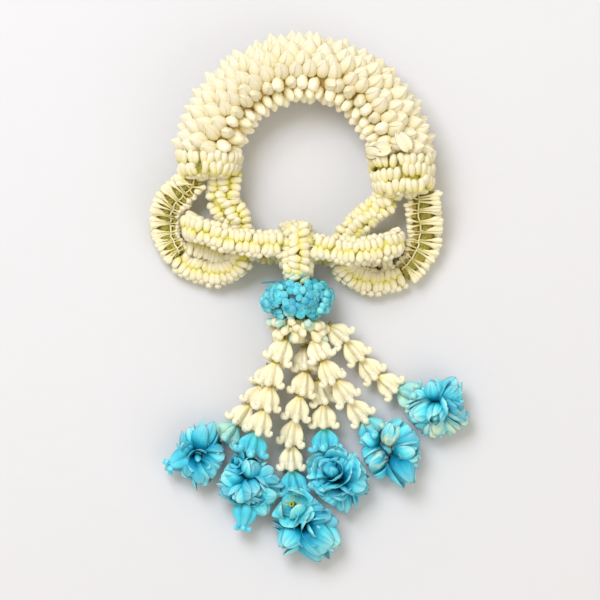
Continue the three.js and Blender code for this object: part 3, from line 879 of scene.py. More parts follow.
JASMINE = PetalFinish(
    "jasmine_petals",
    stops=((0.0, 212, 184, 102), (0.22, 228, 210, 146), (0.42, 232, 222, 184), (0.7, 234, 227, 205),
           (1.0, 237, 232, 214)),
    streak=(230, 221, 182), leaning=(232, 223, 180), leaning_share=0.35, missed=(238, 233, 213),
    # The tan seam colour is painted shade in the creases between petals.
    seam_shade_and_light=(206, 178, 118), seam_shade_and_light_width=0.035, seam_shade_and_light_share=0.4,
)
# A lighter copy of the jasmine finish for the arch's inner rows, which face down into the shade of the hole:
# painted light that lifts their shade. Its seam colour is painted shade in the creases.
BRIGHTENED_INNER_JASMINE = replace(
    JASMINE, name="brightened_inner_jasmine_petals",
    stops=((0.0, 236, 208, 120), (0.22, 246, 228, 160), (0.42, 249, 239, 198), (0.7, 250, 243, 218),
           (1.0, 250, 245, 226)),
    streak=(244, 234, 192), leaning=(246, 236, 190), missed=(250, 244, 222), seam_shade_and_light=(214, 184, 120),
)
LOOSE = PetalFinish(
    "loose_petals", stops=((0.0, 226, 214, 162), (0.3, 236, 228, 194), (1.0, 238, 233, 212)),
    streak=(228, 218, 176), streak_share=0.35, leaning_share=0.2, missed=(238, 233, 213), veins=7.0,
    vein_depth=0.00012,
)
SMALL = PetalFinish(
    "small_bud_petals",
    stops=((0.0, 220, 212, 88), (0.12, 230, 222, 130), (0.28, 235, 228, 178), (0.7, 237, 231, 210),
           (1.0, 234, 228, 200)),
    streak=(237, 227, 188), leaning=(236, 226, 178), leaning_share=0.35, missed=(126, 206, 214),
    # The seam colour is painted shade in the creases between petals.
    roughness=0.42, veins=3.0, patch_blur=0.2, place_scale=240.0, seam_shade_and_light=(214, 188, 122), seam_shade_and_light_share=0.35,
)
STALKS = PetalFinish(
    "pale_stalks", stops=((0.0, 204, 192, 116), (0.45, 234, 226, 184), (1.0, 244, 238, 214)),
    streak=(230, 218, 168), leaning=(240, 230, 176), missed=(120, 206, 214), roughness=0.45, veins=3.0,
    patch_blur=0.2, place_scale=240.0,
)
CROWN = PetalFinish(
    "crown_flower_petals",
    stops=((0.0, 200, 172, 84), (0.08, 240, 226, 160), (0.3, 242, 236, 204), (1.0, 244, 240, 222)),
    streak=(244, 233, 192), leaning=(243, 234, 190), missed=(120, 206, 214), roughness=0.4, veins=8.0,
    # The seam colour is painted shade in the valleys between the fins.
    patch_blur=0.3, place_scale=240.0, seam_shade_and_light=(216, 198, 128), seam_shade_and_light_share=0.3,
)
# The ramp is near black at the root, painted shade deep in the blossom, and near white at the tip, partly the
# dye's own paleness and partly painted light. The pale seam colour is painted rim light.
DYED = DyedFinish(
    "dyed_petals",
    stops=((0.0, 0, 36, 40), (0.22, 0, 64, 74), (0.48, 0, 136, 166), (0.7, 98, 229, 250),
           (1.0, 176, 247, 253)),
    streak=(0, 130, 172), streak_share=0.46, leaning=(0, 130, 182), leaning_share=0.5,
    missed=(206, 232, 208), vein_depth=0.00013, patch=2.2, patch_blur=0.12, seam_shade_and_light=(150, 238, 246),
    seam_shade_and_light_width=0.07, seam_shade_and_light_share=0.2,
)
DYED_OPEN = DyedFinish(
    "dyed_open_petals",
    stops=((0.0, 190, 214, 130), (0.16, 166, 228, 200), (0.42, 88, 214, 230), (0.8, 120, 232, 244),
           (1.0, 170, 244, 246)),
    streak=(10, 156, 190), streak_share=0.4, leaning=(40, 180, 212), missed=(232, 248, 224),
    # The pale seam colour is painted rim light along the petals' edges.
    vein_depth=0.00007, patch=1.6, patch_blur=0.2, seam_shade_and_light=(190, 244, 246), seam_shade_and_light_width=0.09, seam_shade_and_light_share=0.5,
)
DYED_CROWN = DyedFinish(
    "dyed_crown_petals",
    stops=((0.0, 130, 182, 130), (0.12, 104, 212, 220), (0.5, 84, 208, 234), (1.0, 134, 232, 250)),
    streak=(10, 156, 190), streak_share=0.45, leaning=(46, 180, 220), missed=(206, 234, 204),
    # The dark seam colour is painted shade in the valleys between the fins.
    roughness=0.36, specular=0.14, veins=9.0, patch_blur=0.25, place_scale=110.0, seam_shade_and_light=(10, 120, 146),
    seam_shade_and_light_width=0.1, seam_shade_and_light_share=0.6,
)
# The ramp's dark lower part is painted shade between the band's buds, and the dark seam colour is painted
# shade in the creases between lobes.
DYED_BUDS = DyedFinish(
    "dyed_bud_petals",
    stops=((0.0, 0, 40, 46), (0.4, 0, 66, 76), (0.56, 40, 160, 170), (0.72, 156, 236, 238),
           (0.86, 110, 222, 236), (1.0, 50, 186, 216)),
    streak=(176, 240, 240), streak_share=0.4, leaning=(0, 122, 174), leaning_share=0.5,
    missed=(206, 236, 224), roughness=0.24, specular=0.2, veins=4.0, patch_blur=0.3, place_scale=240.0,
    seam_shade_and_light=(0, 82, 104), seam_shade_and_light_width=0.14, seam_shade_and_light_share=0.7,
)
GROOVE = GreenFinish("yellow_groove", fresh=(228, 222, 96), dry=(206, 190, 92))
# Stalk colour darkened with painted shade, for the core that lies deep under the arch's buds.
SHADED_STALKS = GreenFinish("shaded_stalks", fresh=(190, 160, 84), dry=(120, 92, 36))
SEPAL = GreenFinish("green_sepals", fresh=(160, 164, 64), dry=(118, 96, 34), dry_share=0.7)
BROWN = GreenFinish("drying_sepals", fresh=(184, 168, 50), dry=(130, 100, 24), dry_share=0.7)
YELLOW_HEART = GreenFinish("yellow_hearts", fresh=(196, 204, 110), dry=(150, 146, 64), dry_share=0.55)
# The band's core: the dye's teal darkened as painted shade deep between its buds.
SHADED_DYE = GreenFinish("shaded_dye", fresh=(8, 92, 112), dry=(6, 66, 84))
COTTON = ThreadFinish("cotton_thread", colour=(232, 226, 204), shade=(190, 180, 146))
DYED_COTTON = ThreadFinish("dyed_thread", colour=(60, 176, 204), shade=(24, 128, 156))
TABLE = TableFinish("pale_table", colour=(215.625, 217.018, 224.61), grain=(203.423, 200.373, 195.681))


# Layout


class Side(Enum):
    """The two sides of the garland, seen from above."""

    LEFT = "left"
    RIGHT = "right"


@dataclass(frozen=True)
class Layout:
    """The routes that the flowers are strung on."""

    arch_radius: float = 51.0
    arch_z: float = 18.6
    start_deg: float = 172.0
    end_deg: float = 7.0
    left_collar_deg: float = 13.0
    right_collar_deg: float = 21.5
    right_spread: float = 3.0
    outer_offset: float = 10.2
    inner_offset: float = 8.2
    lead: tuple[float, float, float] = (0.4, 1.6, 3.0)
    floor_z: float = 5.5
    upper_z: float = 28.6
    lower_z: float = 5.5
    turn_z: float = 3.6
    thread_tail: float = 4.0
    thread_half: float = 0.45
    thread_marks: int = 16
    cell: float = 7.4

    def arch(self) -> Route:
        """Lays the arch with both its collars.

        Returns:
            Its route, from left to right.
        """
        first, last = self.start_deg + self.left_collar_deg, self.end_deg - self.right_collar_deg
        degrees = np.linspace(first, last, 800)
        below = np.maximum(0, (self.end_deg - degrees) / self.right_collar_deg)
        radius = self.arch_radius + self.right_spread * below**2
        return Route(round_rings(radius, np.radians(degrees), self.arch_z))

    @property
    def arch_start(self) -> float:
        """The distance along the arch at which its jasmine starts."""
        return math.radians(self.left_collar_deg) * self.arch_radius

    @property
    def arch_end(self) -> float:
        """The distance along the arch at which its jasmine ends."""
        return self.arch_start + math.radians(self.start_deg - self.end_deg) * self.arch_radius

    def ring(self, side: Side) -> Route:
        """Lays the ring that hangs from a collar.

        Args:
            side: Which collar.

        Returns:
            The ring's route, from the collar's outer edge round to its inner one.
        """
        arch = self.arch()
        left = side is Side.LEFT
        end = arch.at([0.0 if left else arch.length])
        leaving = end.along[0] * (-1 if left else 1)
        z = self.floor_z
        inner = (
            [(-66.4, -13.9, 15.4), (-71.4, -19.4, 12.5), (-74, -28, 7), (-72.6, -40, z), (-65, -50.6, z),
             (-54, -56, z), (-43.5, -56.5, 8), (-34.5, -49, 15.6), (-34.5, -38, 17), (-38.5, -26, 17),
             (-44, -17.5, 17.5)]
            if left
            else [(63, -27.5, 13), (63.6, -38.5, 7.5), (59, -50.5, z), (48.5, -59.4, z), (35, -61.4, z + 0.6),
                  (24, -57, 11), (19, -47.5, 16.6), (23.5, -36, 17), (32, -27, 17)]
        )
        first = [end.point[0] + end.side[0] * self.outer_offset + leaving * lead for lead in self.lead]
        last = [end.point[0] - end.side[0] * self.inner_offset + leaving * lead for lead in self.lead[::-1]]
        return Route.through([*first, *inner, *last])

    def loop(self, side: Side) -> Route:
        """Lays one half of the doubled strand, out over its ring and back under it.

        Args:
            side: Which half.

        Returns:
            Its route.
        """
        high, low = self.upper_z, self.lower_z
        middle, over, under = (high + low) / 2, high - self.turn_z, low + self.turn_z
        if side is Side.LEFT:
            points = [
                (-12.4, -41.5, high), (-24, -41, high), (-36, -40.2, high), (-49, -36.5, high),
                (-57.5, -33.2, over), (-60.8, -32, middle), (-57.5, -33.4, under), (-49, -37.5, low),
                (-36, -42, low), (-24, -44, low), (-12.4, -44.5, low),
            ]
            return Route.through(points, sideways=(0, -1, 0))
        points = [
            (4.7, -42.5, high), (17, -44.5, high), (28, -45.5, high), (37, -44, high), (45, -41.4, over),
            (48.2, -40.4, middle), (45, -41.6, under), (37, -44.4, low), (28, -46, low), (17, -46, low),
            (4.7, -45, low),
        ]
        return Route.through(points, sideways=(0, 1, 0))

    def shift(self) -> Array:
        """Finds the way from the layout's frame to the part's, from where the arch's thread lies.

        Returns:
            The way, in millimetres.
        """
        arch = self.arch()
        marks = np.linspace(self.thread_tail, arch.length - self.thread_tail, self.thread_marks)
        stations = arch.at(marks)
        half = self.thread_half
        corners = np.vstack([
            stations.point + stations.side * half * right + stations.up * half * high
            for right in (-1, 1) for high in (-1, 1)
        ])
        return np.array(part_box("arch_thread")[0]) / METRES - corners.min(axis=0)


# Strung buds


class Assembly:
    """A part of the garland, made as one or more pieces."""

    def build(self) -> Iterator[Heap]:
        """Strings the flowers.

        Yields:
            A heap for each piece, in order.
        """
        raise NotImplementedError


@dataclass
class Arch(Assembly):
    """The arch of jasmine buds round a thread, in six lengths."""

    layout: Layout
    rows: int = 14
    cells: int = 20
    nodes: int = 6
    tube: float = 19.8
    root: float = 8.4
    width: float = 9.4
    lean: float = 0.7
    sway: float = 0.09
    core: float = 11.6
    overlap: float = 0.2
    jitter_along: float = 0.07
    jitter_round: float = 0.12
    heights: Pair = (0.95, 1.05)
    widths: Pair = (0.93, 1.08)
    thicknesses: Pair = (0.95, 1.05)
    inner_sink: float = 0.09
    inner_squeeze: float = 0.16
    inner_thinning: float = 0.1
    left_fullness: float = 0.08
    least_outward: float = 0.78
    bend_share: float = 0.62
    bend_limits: Pair = (0.84, 1.12)
    loose: tuple[tuple[float, float, float], ...] = ((3.4, 142, 84), (4.4, 118, 262), (5.0, 82, 200))
    loose_guide: tuple[Pair, ...] = ((0.0, -0.8), (3.2, 1.2), (7.6, 1.0), (11.6, -1.8))
    loose_root: float = 5.2
    seed: int = 11

    def build(self) -> Iterator[Heap]:
        """Strings the buds and shares them out among the lengths.

        Yields:
            The six lengths, from left to right.
        """
        random = np.random.default_rng(self.seed)
        route = self.layout.arch()
        start, end = self.layout.arch_start, self.layout.arch_end
        row, cell = grid(self.rows, self.cells)
        count = len(row)
        stagger = jittered(random, np.where(row % 2 == 0, 0.25, 0.75), self.jitter_along)
        distance = start + (cell + stagger) * ((end - start) / self.cells)
        angle = jittered(random, row, self.jitter_round) * 2 * np.pi / self.rows
        at = route.at(distance)
        out = at.across(angle)
        sway = random.normal(0, self.sway, (count, 3))
        inner = smooth_step(-np.cos(angle), 0.3, 0.95)
        axis = unit(out + at.side * (self.lean * np.abs(np.sin(angle)))[:, None] + sway)
        left = 1 - smooth_step(distance / route.length, 0.44, 0.58)
        fuller = self.left_fullness * left * smooth_step(np.cos(angle), 0.1, 0.8)
        height = random.uniform(*self.heights, count) - self.inner_sink * inner + fuller
        outward = np.maximum(np.sum(axis * out, axis=1), self.least_outward)
        length = (self.tube * height - self.root) / outward
        bend = 1 + self.bend_share * self.tube * np.cos(angle) / self.layout.arch_radius
        stretch = np.clip(bend, *self.bend_limits) - self.inner_squeeze * inner
        width = self.width / 2 * random.uniform(*self.widths, count) * (1 - self.inner_thinning * inner)
        size = np.stack([width * stretch, width * random.uniform(*self.thicknesses, count), length], axis=1)
        spots = Spots.pointing(at.point + out * self.root, axis, at.along, size)
        spots = spots.rolled(random.uniform(0, 2 * np.pi, count))
        tint = random.uniform(0, 1, count)
        edges = np.linspace(start, end, self.nodes + 1)
        for node in range(self.nodes):
            name = f"arch_jasmine_{node + 1}"
            heap = Heap(f"{name}_buds", name, "jasmine")
            inside = (distance >= edges[node]) & (distance < edges[node + 1])
            # The inner rows take the brightened copy: painted light against the shade they sit in.
            rows = ((inner < 0.5, JASMINE_BUD, JASMINE), (inner >= 0.5, BLUNT_BUD, BRIGHTENED_INNER_JASMINE))
            for chosen, form, finish in rows:
                kept = inside & chosen
                heap.add(form, spots.chosen(kept), finish, tint[kept])
            marks = np.linspace(edges[node] - self.overlap, edges[node + 1] + self.overlap, 9)
            # The core's darkened stalk colour is painted shade deep under the buds.
            heap.add_one(tube(route.at(marks).point, self.core, 20), SHADED_STALKS)
            if node == self.nodes - 1:
                self.lay_loose_petals(heap, random, route, end)
            yield heap

    def lay_loose_petals(self, heap: Heap, random: Random, route: Route, end: float) -> None:
        """Lays the few petals that have come loose near the right collar.

        Args:
            heap: Where they go.
            random: What varies them.
            route: The arch's route.
            end: Where its jasmine ends.
        """
        petal = Petal(self.loose_guide, 4.4, wrap=0.8, ruffle=2.0, bluntness=0.62)
        for back, turn_deg, way_deg in self.loose:
            at = route.at([end - back])
            out = at.across(np.radians([turn_deg]))
            way = math.radians(way_deg)
            level = unit(at.along * math.cos(way) + np.cross(out, at.along) * math.sin(way))
            basis = np.stack([level[0], np.cross(out[0], level[0]), out[0]])
            origin = at.point + out * self.tube - level * self.loose_root
            heap.add(petal.form(random), Spots(origin, basis[None]), LOOSE, float(random.uniform(0, 0.4)))


@dataclass
class Collar(Assembly):
    """Rings of small buds round one end of the arch, each bud lying along it."""

    layout: Layout
    side: Side
    per_ring: int = 27
    bud: Pair = (4.6, 8.0)
    radii: Pair = (18.8, 16.6)
    core_share: float = 0.74
    bundle_fan: float = 0.12
    bundle_pinch: float = 0.05
    jitter_along: float = 0.06
    jitter_round: float = 0.2
    wave: float = 0.05
    lifts: Pair = (0.12, 0.45)
    lengths: Pair = (0.9, 1.06)
    sepal: Point = (2.4, 2.4, 2.6)
    end_rings: tuple[tuple[int, float, float, float], ...] = ((18, 3.4, 14.2, 0.4), (10, 0.8, 8.2, -0.9))
    end_width: float = 4.3
    bare_place: Pair = (-56.4, -3.6)
    bare_radius: float = 3.2
    seed: int = 51

    def build(self) -> Iterator[Heap]:
        """Strings the rings from the jasmine to the free end.

        Yields:
            The collar.
        """
        random = np.random.default_rng(self.seed + (self.side is Side.RIGHT))
        route = self.layout.arch()
        left = self.side is Side.LEFT
        jasmine = self.layout.arch_start if left else self.layout.arch_end
        free = 0.0 if left else route.length
        rings = 2 if left else 3
        name = f"collar_{self.side.value}"
        heap = Heap(f"{name}_buds", name, "small_bud")
        width, length = self.bud
        count = self.per_ring
        for ring in range(rings):
            angle = jittered(random, np.arange(count) + 0.5 * ring, self.jitter_round) * 2 * np.pi / count
            bundle = np.mod(np.arange(count) + ring, 4) - 1.5
            angle = angle - bundle * self.bundle_pinch * 2 * np.pi / count
            spread = jittered(random, np.full(count, (ring + 0.52) / rings), self.jitter_along)
            spread = spread + self.wave * np.sin(2 * angle + 2.1 * ring)
            at = route.at(jasmine + (free - jasmine) * spread)
            out = at.across(angle)
            inward = at.along * (1 if left else -1)
            turn = at.up * np.cos(angle)[:, None] - at.side * np.sin(angle)[:, None]
            lift = random.uniform(*self.lifts, count)[:, None]
            fan = (bundle * self.bundle_fan)[:, None]
            axis = unit(inward + out * lift + turn * fan + random.normal(0, 0.1, (count, 3)))
            radius = self.radii[0] + (self.radii[1] - self.radii[0]) * spread - width / 2
            middle = at.point + out * radius[:, None]
            long = length * random.uniform(*self.lengths, count)
            origin = middle - axis * (long / 2)[:, None]
            kept = self.kept(middle)
            spots = Spots.round(origin, axis, out, width / 2, long, random.uniform(0, ANY_TURN, count))
            heap.add(SMALL_BUD, spots.chosen(kept), SMALL, random.uniform(0, 1, count)[kept])
            bare = ~kept
            if bare.any():
                green = Spots.pointing(middle[bare], out[bare], inward[bare], self.sepal)
                heap.add_varied(SEPALS, green, SEPAL, random)
        marks = np.linspace(jasmine, free, 6)
        radius = np.linspace(*self.radii, 6) * self.core_share
        heap.add_one(tube(route.at(marks).point, radius, 20), GROOVE)
        self.close_end(heap, route.at([free]), -1.0 if left else 1.0, random)
        yield heap

    def close_end(self, heap: Heap, end: Stations, outward: float, random: Random) -> None:
        """Closes the free end with rings of buds that lie out from the thread.

        Args:
            heap: Where the buds go.
            end: The end's place on the route.
            outward: 1 where the route leaves the collar there, or else -1.
            random: What scatters them.
        """
        leaving = end.along * outward
        for count, start, tip, depth in self.end_rings:
            angle = jittered(random, np.arange(count), 0.16) * 2 * np.pi / count
            out = end.across(angle)
            origin = end.point + out * start - leaving * depth
            long = (tip - start) * random.uniform(0.92, 1.04, count)
            axis = out + leaving * 0.06 + random.normal(0, 0.05, (count, 3))
            spots = Spots.round(origin, axis, leaving, self.end_width / 2, long)
            heap.add_varied(SMALL_BUD, spots, SMALL, random)

    def kept(self, middle: Array) -> Flags:
        """Says which buds are there: a few have dropped off the left collar's top.

        Args:
            middle: The buds' middles.

        Returns:
            True for each bud that is there.
        """
        if self.side is Side.RIGHT:
            return np.ones(len(middle), bool)
        near = np.linalg.norm(middle[:, :2] - np.array(self.bare_place), axis=1) < self.bare_radius
        return ~(near & (middle[:, 2] > self.layout.arch_z))


Section = Callable[[Array], tuple[Array, Array]]


@dataclass
class Strand(Assembly):
    """A strand of small buds that lie across it in rows, their stalks meeting in yellow grooves."""

    name: str
    route: Route
    start: float
    end: float
    section: Section
    rows: int = 6
    phase: float = 0.0
    pitch: float = 3.25
    bud: Pair = (4.5, 7.0)
    sink: float = 1.7
    bundle: int = 4
    fan: float = 0.5
    pinch: float = 0.07
    lumps: float = 0.9
    scatter: float = 0.12
    jitter_along: float = 0.14
    jitter_round: float = 0.12
    end_gap: float = 0.8
    lifts: Pair = (0.05, 0.6)
    lengths: Pair = (0.88, 1.08)
    widths: Pair = (0.9, 1.08)
    root_share: float = 0.52
    dye_edge: Pair = (-2.0, 9.0)
    dye: float = 0.0
    dye_from: float = 0.0
    squareness: float = 1.0
    seed: int = 61
    core_share: float = 0.6
    core: GreenFinish = GROOVE
    highest: float = 1.0

    def rim(self, at: Stations, share: Array, angle: Array, sink: float | Array) -> Array:
        """Finds places on the strand's surface, or this far under it.

        Args:
            at: Where along it.
            share: The same as a share of the whole route.
            angle: Where round it.
            sink: How far under.

        Returns:
            The places.
        """
        wide, thick = self.section(share)
        cos, sin = np.cos(angle), np.sin(angle)
        right = np.sign(cos) * np.abs(cos) ** self.squareness * (wide - sink)
        high = np.sign(sin) * np.abs(sin) ** self.squareness * (thick - sink)
        return at.offset(right, high)

    def fill(self, heap: Heap) -> None:
        """Strings the buds and their core into a heap.

        Args:
            heap: Where they go.
        """
        random = np.random.default_rng(self.seed)
        cells = max(2, round((self.end - self.start) / self.pitch))
        pitch = (self.end - self.start) / cells
        row, cell = grid(self.rows, cells)
        count = len(row)
        bundle = np.mod(cell + random.integers(0, self.bundle, self.rows)[row], self.bundle)
        local = (bundle - (self.bundle - 1) / 2) / self.bundle
        stagger = jittered(random, np.where(row % 2 == 0, 0.25, 0.75), self.jitter_along)
        drawn = self.pinch * (local * self.bundle)
        distance = self.start + (cell + stagger - drawn) * pitch
        distance = np.clip(distance, self.start + self.end_gap, self.end - self.end_gap)
        angle = jittered(random, row, self.jitter_round) * (2 * np.pi / self.rows) + self.phase
        share = distance / self.route.length
        at = self.route.at(distance)
        wave = self.lumps * (np.sin(distance / 2.9 + 1.7 * row) + random.uniform(-1, 1, count)) / 2
        middle = self.rim(at, share, angle, self.sink + wave)
        upright = np.abs(np.cos(angle)) > 0.9
        away = np.where(np.cos(angle) >= 0, -1.0, 1.0) * np.where(upright, -1.0, 1.0)
        ahead = self.rim(at, share, angle + 0.1 * away, self.sink + wave)
        out = unit(middle - at.point)
        lift = random.uniform(*self.lifts, count)[:, None]
        fan = (self.fan * local + random.normal(0, self.scatter, count))[:, None]
        axis = unit(unit(ahead - middle) + out * lift + at.along * fan)
        width, length = self.bud
        long = length * random.uniform(*self.lengths, count)
        wide = width / 2 * random.uniform(*self.widths, count)
        origin = middle - axis * (long * self.root_share)[:, None]
        kept = np.sin(angle) <= self.highest
        spots = Spots.round(origin, axis, out, wide, long, random.uniform(0, ANY_TURN, count)).chosen(kept)
        pale = self.dye * smooth_step(self.dye_from - middle[:, 1], *self.dye_edge)
        heap.add(SMALL_BUD, spots, SMALL, random.uniform(0, 1, count)[kept], pale[kept])
        self.fill_core(heap)

    def fill_core(self, heap: Heap, sides: int = 14) -> None:
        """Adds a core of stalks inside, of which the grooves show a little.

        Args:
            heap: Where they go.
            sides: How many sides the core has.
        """
        marks = np.linspace(self.start, self.end, max(4, round((self.end - self.start) / 4)))
        at = self.route.at(marks)
        share = marks / self.route.length
        angles = np.linspace(0, 2 * np.pi, sides, endpoint=False)
        rims = [self.rim(at, share, np.full(len(marks), angle), 0.0) - at.point for angle in angles]
        rings = np.stack([at.point + rim * self.core_share for rim in rims], axis=1)
        heap.add_one(closed_skin(rings, np.linspace(0, 1, len(marks)), np.linspace(0, 3, sides)), self.core)

    def build(self) -> Iterator[Heap]:
        """Makes the strand one piece.

        Yields:
            The strand.
        """
        heap = Heap(f"{self.name}_buds", self.name, "small_bud")
        self.fill(heap)
        yield heap


@dataclass
class FannedStrand(Strand):
    """A stretch of ring that shows its back: stalks fan out from a pale line, sepals sunk between them."""

    outward: int = 1
    splay: float = 1.0
    bundle_pitch: float = 6.0
    line_share: float = 0.3
    line_radius: float = 0.48
    foot_spread: float = 0.7
    tip_spread: float = 1.9
    heads: Pair = (1.5, 1.85)
    sepals: tuple[tuple[float, float, GreenFinish], ...] = ((1.0, 2.1, SEPAL), (-0.8, 1.7, BROWN))
    core: GreenFinish = BROWN
    highest: float = 0.35

    def fill(self, heap: Heap) -> None:
        """Strings the buds of the sides and underside, and lays the fans and the sepals on top.

        Args:
            heap: Where they go.
        """
        super().fill(heap)
        random = np.random.default_rng(self.seed + 500)
        bundles = round((self.end - self.start) / self.bundle_pitch)
        pitch = (self.end - self.start) / bundles
        for bundle in range(bundles):
            middle = self.start + (bundle + 0.5 + random.uniform(-0.08, 0.08)) * pitch
            self.lay_fan(heap, random, middle, self.outward, 3)
            self.lay_fan(heap, random, middle + pitch * 0.1, -self.outward, 2)
            self.sink_sepals(heap, random, middle, pitch)
        marks = np.linspace(self.start + 0.4, self.end - 0.4, 2 * bundles + 1)
        wide, thick = self.section(marks / self.route.length)
        sway = random.uniform(-0.6, 0.6, len(marks)) - self.outward * wide * self.line_share
        line = self.route.at(marks).offset(sway, thick * 0.66)
        heap.add_one(tube(line, self.line_radius, 8), STALKS)

    def sink_sepals(self, heap: Heap, random: Random, middle: float, pitch: float) -> None:
        """Sinks a green and a brown sepal between one fan and the next.

        Args:
            heap: Where they go.
            random: What scatters them.
            middle: The fan's distance along the route.
            pitch: The distance from fan to fan.
        """
        for side, radius, finish in self.sepals:
            at = self.route.at([min(middle + pitch * 0.5, self.end - 1.2)])
            wide, thick = self.section(np.array([middle / self.route.length]))
            origin = at.offset(self.outward * (side * 2.5 - wide * self.line_share), thick * 0.5)
            lean = unit(at.up + at.side * self.outward * side * 0.25 + random.normal(0, 0.12, 3))
            roll = float(random.uniform(0, ANY_TURN))
            spots = Spots.pointing(origin, lean, at.along, (radius, radius, 1.5), roll)
            heap.add_varied(SEPALS, spots, finish, random)

    def lay_fan(self, heap: Heap, random: Random, middle: float, outward: int, stalks: int) -> None:
        """Lays one fan of buds on their stalks.

        Args:
            heap: Where they go.
            random: What scatters them.
            middle: The fan's distance along the route.
            outward: 1 to the route's side, or -1.
            stalks: How many.
        """
        spread = jittered(random, np.linspace(-1, 1, stalks), 0.4)
        foot = self.route.at(middle + spread * self.foot_spread)
        tip = self.route.at(middle + spread * self.tip_spread)
        wide, thick = self.section(np.full(stalks, middle / self.route.length))
        origin = foot.offset(-self.outward * wide * self.line_share, thick * 0.68)
        reach = outward * wide * self.splay * random.uniform(0.84, 1.08, stalks)
        axis = tip.offset(reach, thick * random.uniform(0.3, 0.72, stalks)) - origin
        length = np.linalg.norm(axis, axis=1)
        head = random.uniform(*self.heads, stalks) * (1.0 if outward == self.outward else 0.85)
        spots = Spots.round(origin, axis, foot.up, head, length, random.uniform(0, ANY_TURN, stalks))
        heap.add_varied(CLUB_BUD, spots, STALKS, random)


@dataclass
class Rings(Assembly):
    """The two rings of small buds, each in three lengths."""

    layout: Layout
    half: Pair = (7.0, 5.2)
    broader: float = 1.7
    gap: float = 0.7
    cuts: Pair = (0.36, 0.66)

    def section(self, broad_end: float) -> Section:
        """Gives the half width and half thickness by the share of the route.

        Args:
            broad_end: 1 where the ring is broad at its end too, or else 0.

        Returns:
            What gives the halves by share.
        """

        def halves(share: Array) -> tuple[Array, Array]:
            """Works out both at each share."""
            spread = 1 - smooth_step(share, 0.16, 0.34) + broad_end * smooth_step(share, 0.68, 0.84)
            return self.half[0] + self.broader * spread, np.full(np.shape(share), self.half[1])

        return halves

    def build(self) -> Iterator[Heap]:
        """Makes the outer length with its back up, and the bottom and inner ones of plain strand.

        Yields:
            The three lengths of each ring.
        """
        for side, broad_end, splay, seed in ((Side.LEFT, 1.0, 1.0, 31), (Side.RIGHT, 0.0, 1.16, 41)):
            route = self.layout.ring(side)
            cells = round(route.length / self.layout.cell)
            marks = [0, *(round(cells * cut) / cells * route.length for cut in self.cuts), route.length]
            for k, part in enumerate(("outer", "bottom", "inner")):
                start, end = marks[k] + self.gap * (k > 0), marks[k + 1] - self.gap * (k < 2)
                place = (f"ring_{side.value}_{part}", route, start, end, self.section(broad_end))
                if part == "outer":
                    outward = -1 if side is Side.LEFT else 1
                    strand = FannedStrand(*place, seed=seed + k, outward=outward, splay=splay)
                else:
                    strand = Strand(*place, seed=seed + k, phase=math.pi / 6 if part == "inner" else 0.0)
                yield from strand.build()


@dataclass
class Loops(Assembly):
    """The doubled strand that passes through both rings, in four lengths."""

    layout: Layout
    half: Pair = (7.0, 5.2)
    gap: float = 0.7
    layers: tuple[Pair, ...] = ((7.6, 9.6), (11.4, 8.2))

    def halves(self, share: Array) -> tuple[Array, Array]:
        """Gives the strand's even section."""
        return tuple(np.full(np.shape(share), half) for half in self.half)

    def build(self) -> Iterator[Heap]:
        """Makes each half's upper and lower length.

        Yields:
            The four lengths.
        """
        for side, seed in ((Side.LEFT, 61), (Side.RIGHT, 71)):
            route = self.layout.loop(side)
            cells = round(route.length / self.layout.cell)
            cut = round(cells / 2) / cells * route.length
            lengths = (("upper", 0.0, cut - self.gap), ("lower", cut + self.gap, route.length))
            for k, (part, start, end) in enumerate(lengths):
                name = f"loop_{side.value}_{part}"
                heap = Heap(f"{name}_buds", name, "small_bud")
                Strand(name, route, start, end, self.halves, seed=seed + k).fill(heap)
                if part == "lower":
                    self.lean_to_ring(heap, side)
                yield heap

    def lean_to_ring(self, heap: Heap, side: Side) -> None:
        """Lets buds of a lower length lean out over the gap between it and its ring's bottom.

        Args:
            heap: Where they go.
            side: Which half.
        """
        left = side is Side.LEFT
        random = np.random.default_rng(66 if left else 67)
        count = 9 if left else 10
        start, span = ((-61.5, -39.2, 0), (18.5, -5.2, 0)) if left else ((19, -44.8, 0), (26, -0.4, 0))
        for layer, (level, reach) in enumerate(self.layers):
            share = jittered(random, np.arange(count) + 0.5 * layer, 0.15) / count
            origin = np.array(start) + (0, 0, level) + share[:, None] * span
            way = np.array([-0.1 if left else 0.1, -1, -0.05])
            axis = unit(way + random.normal(0, 0.14, (count, 3)))
            head = random.uniform(*SMALL_HALF, count)
            long = reach * random.uniform(0.88, 1.06, count)
            spots = Spots.round(origin, axis, Z_AXIS, head, long, share * 40)
            heap.add_varied(SMALL_BUD, spots, SMALL, random)


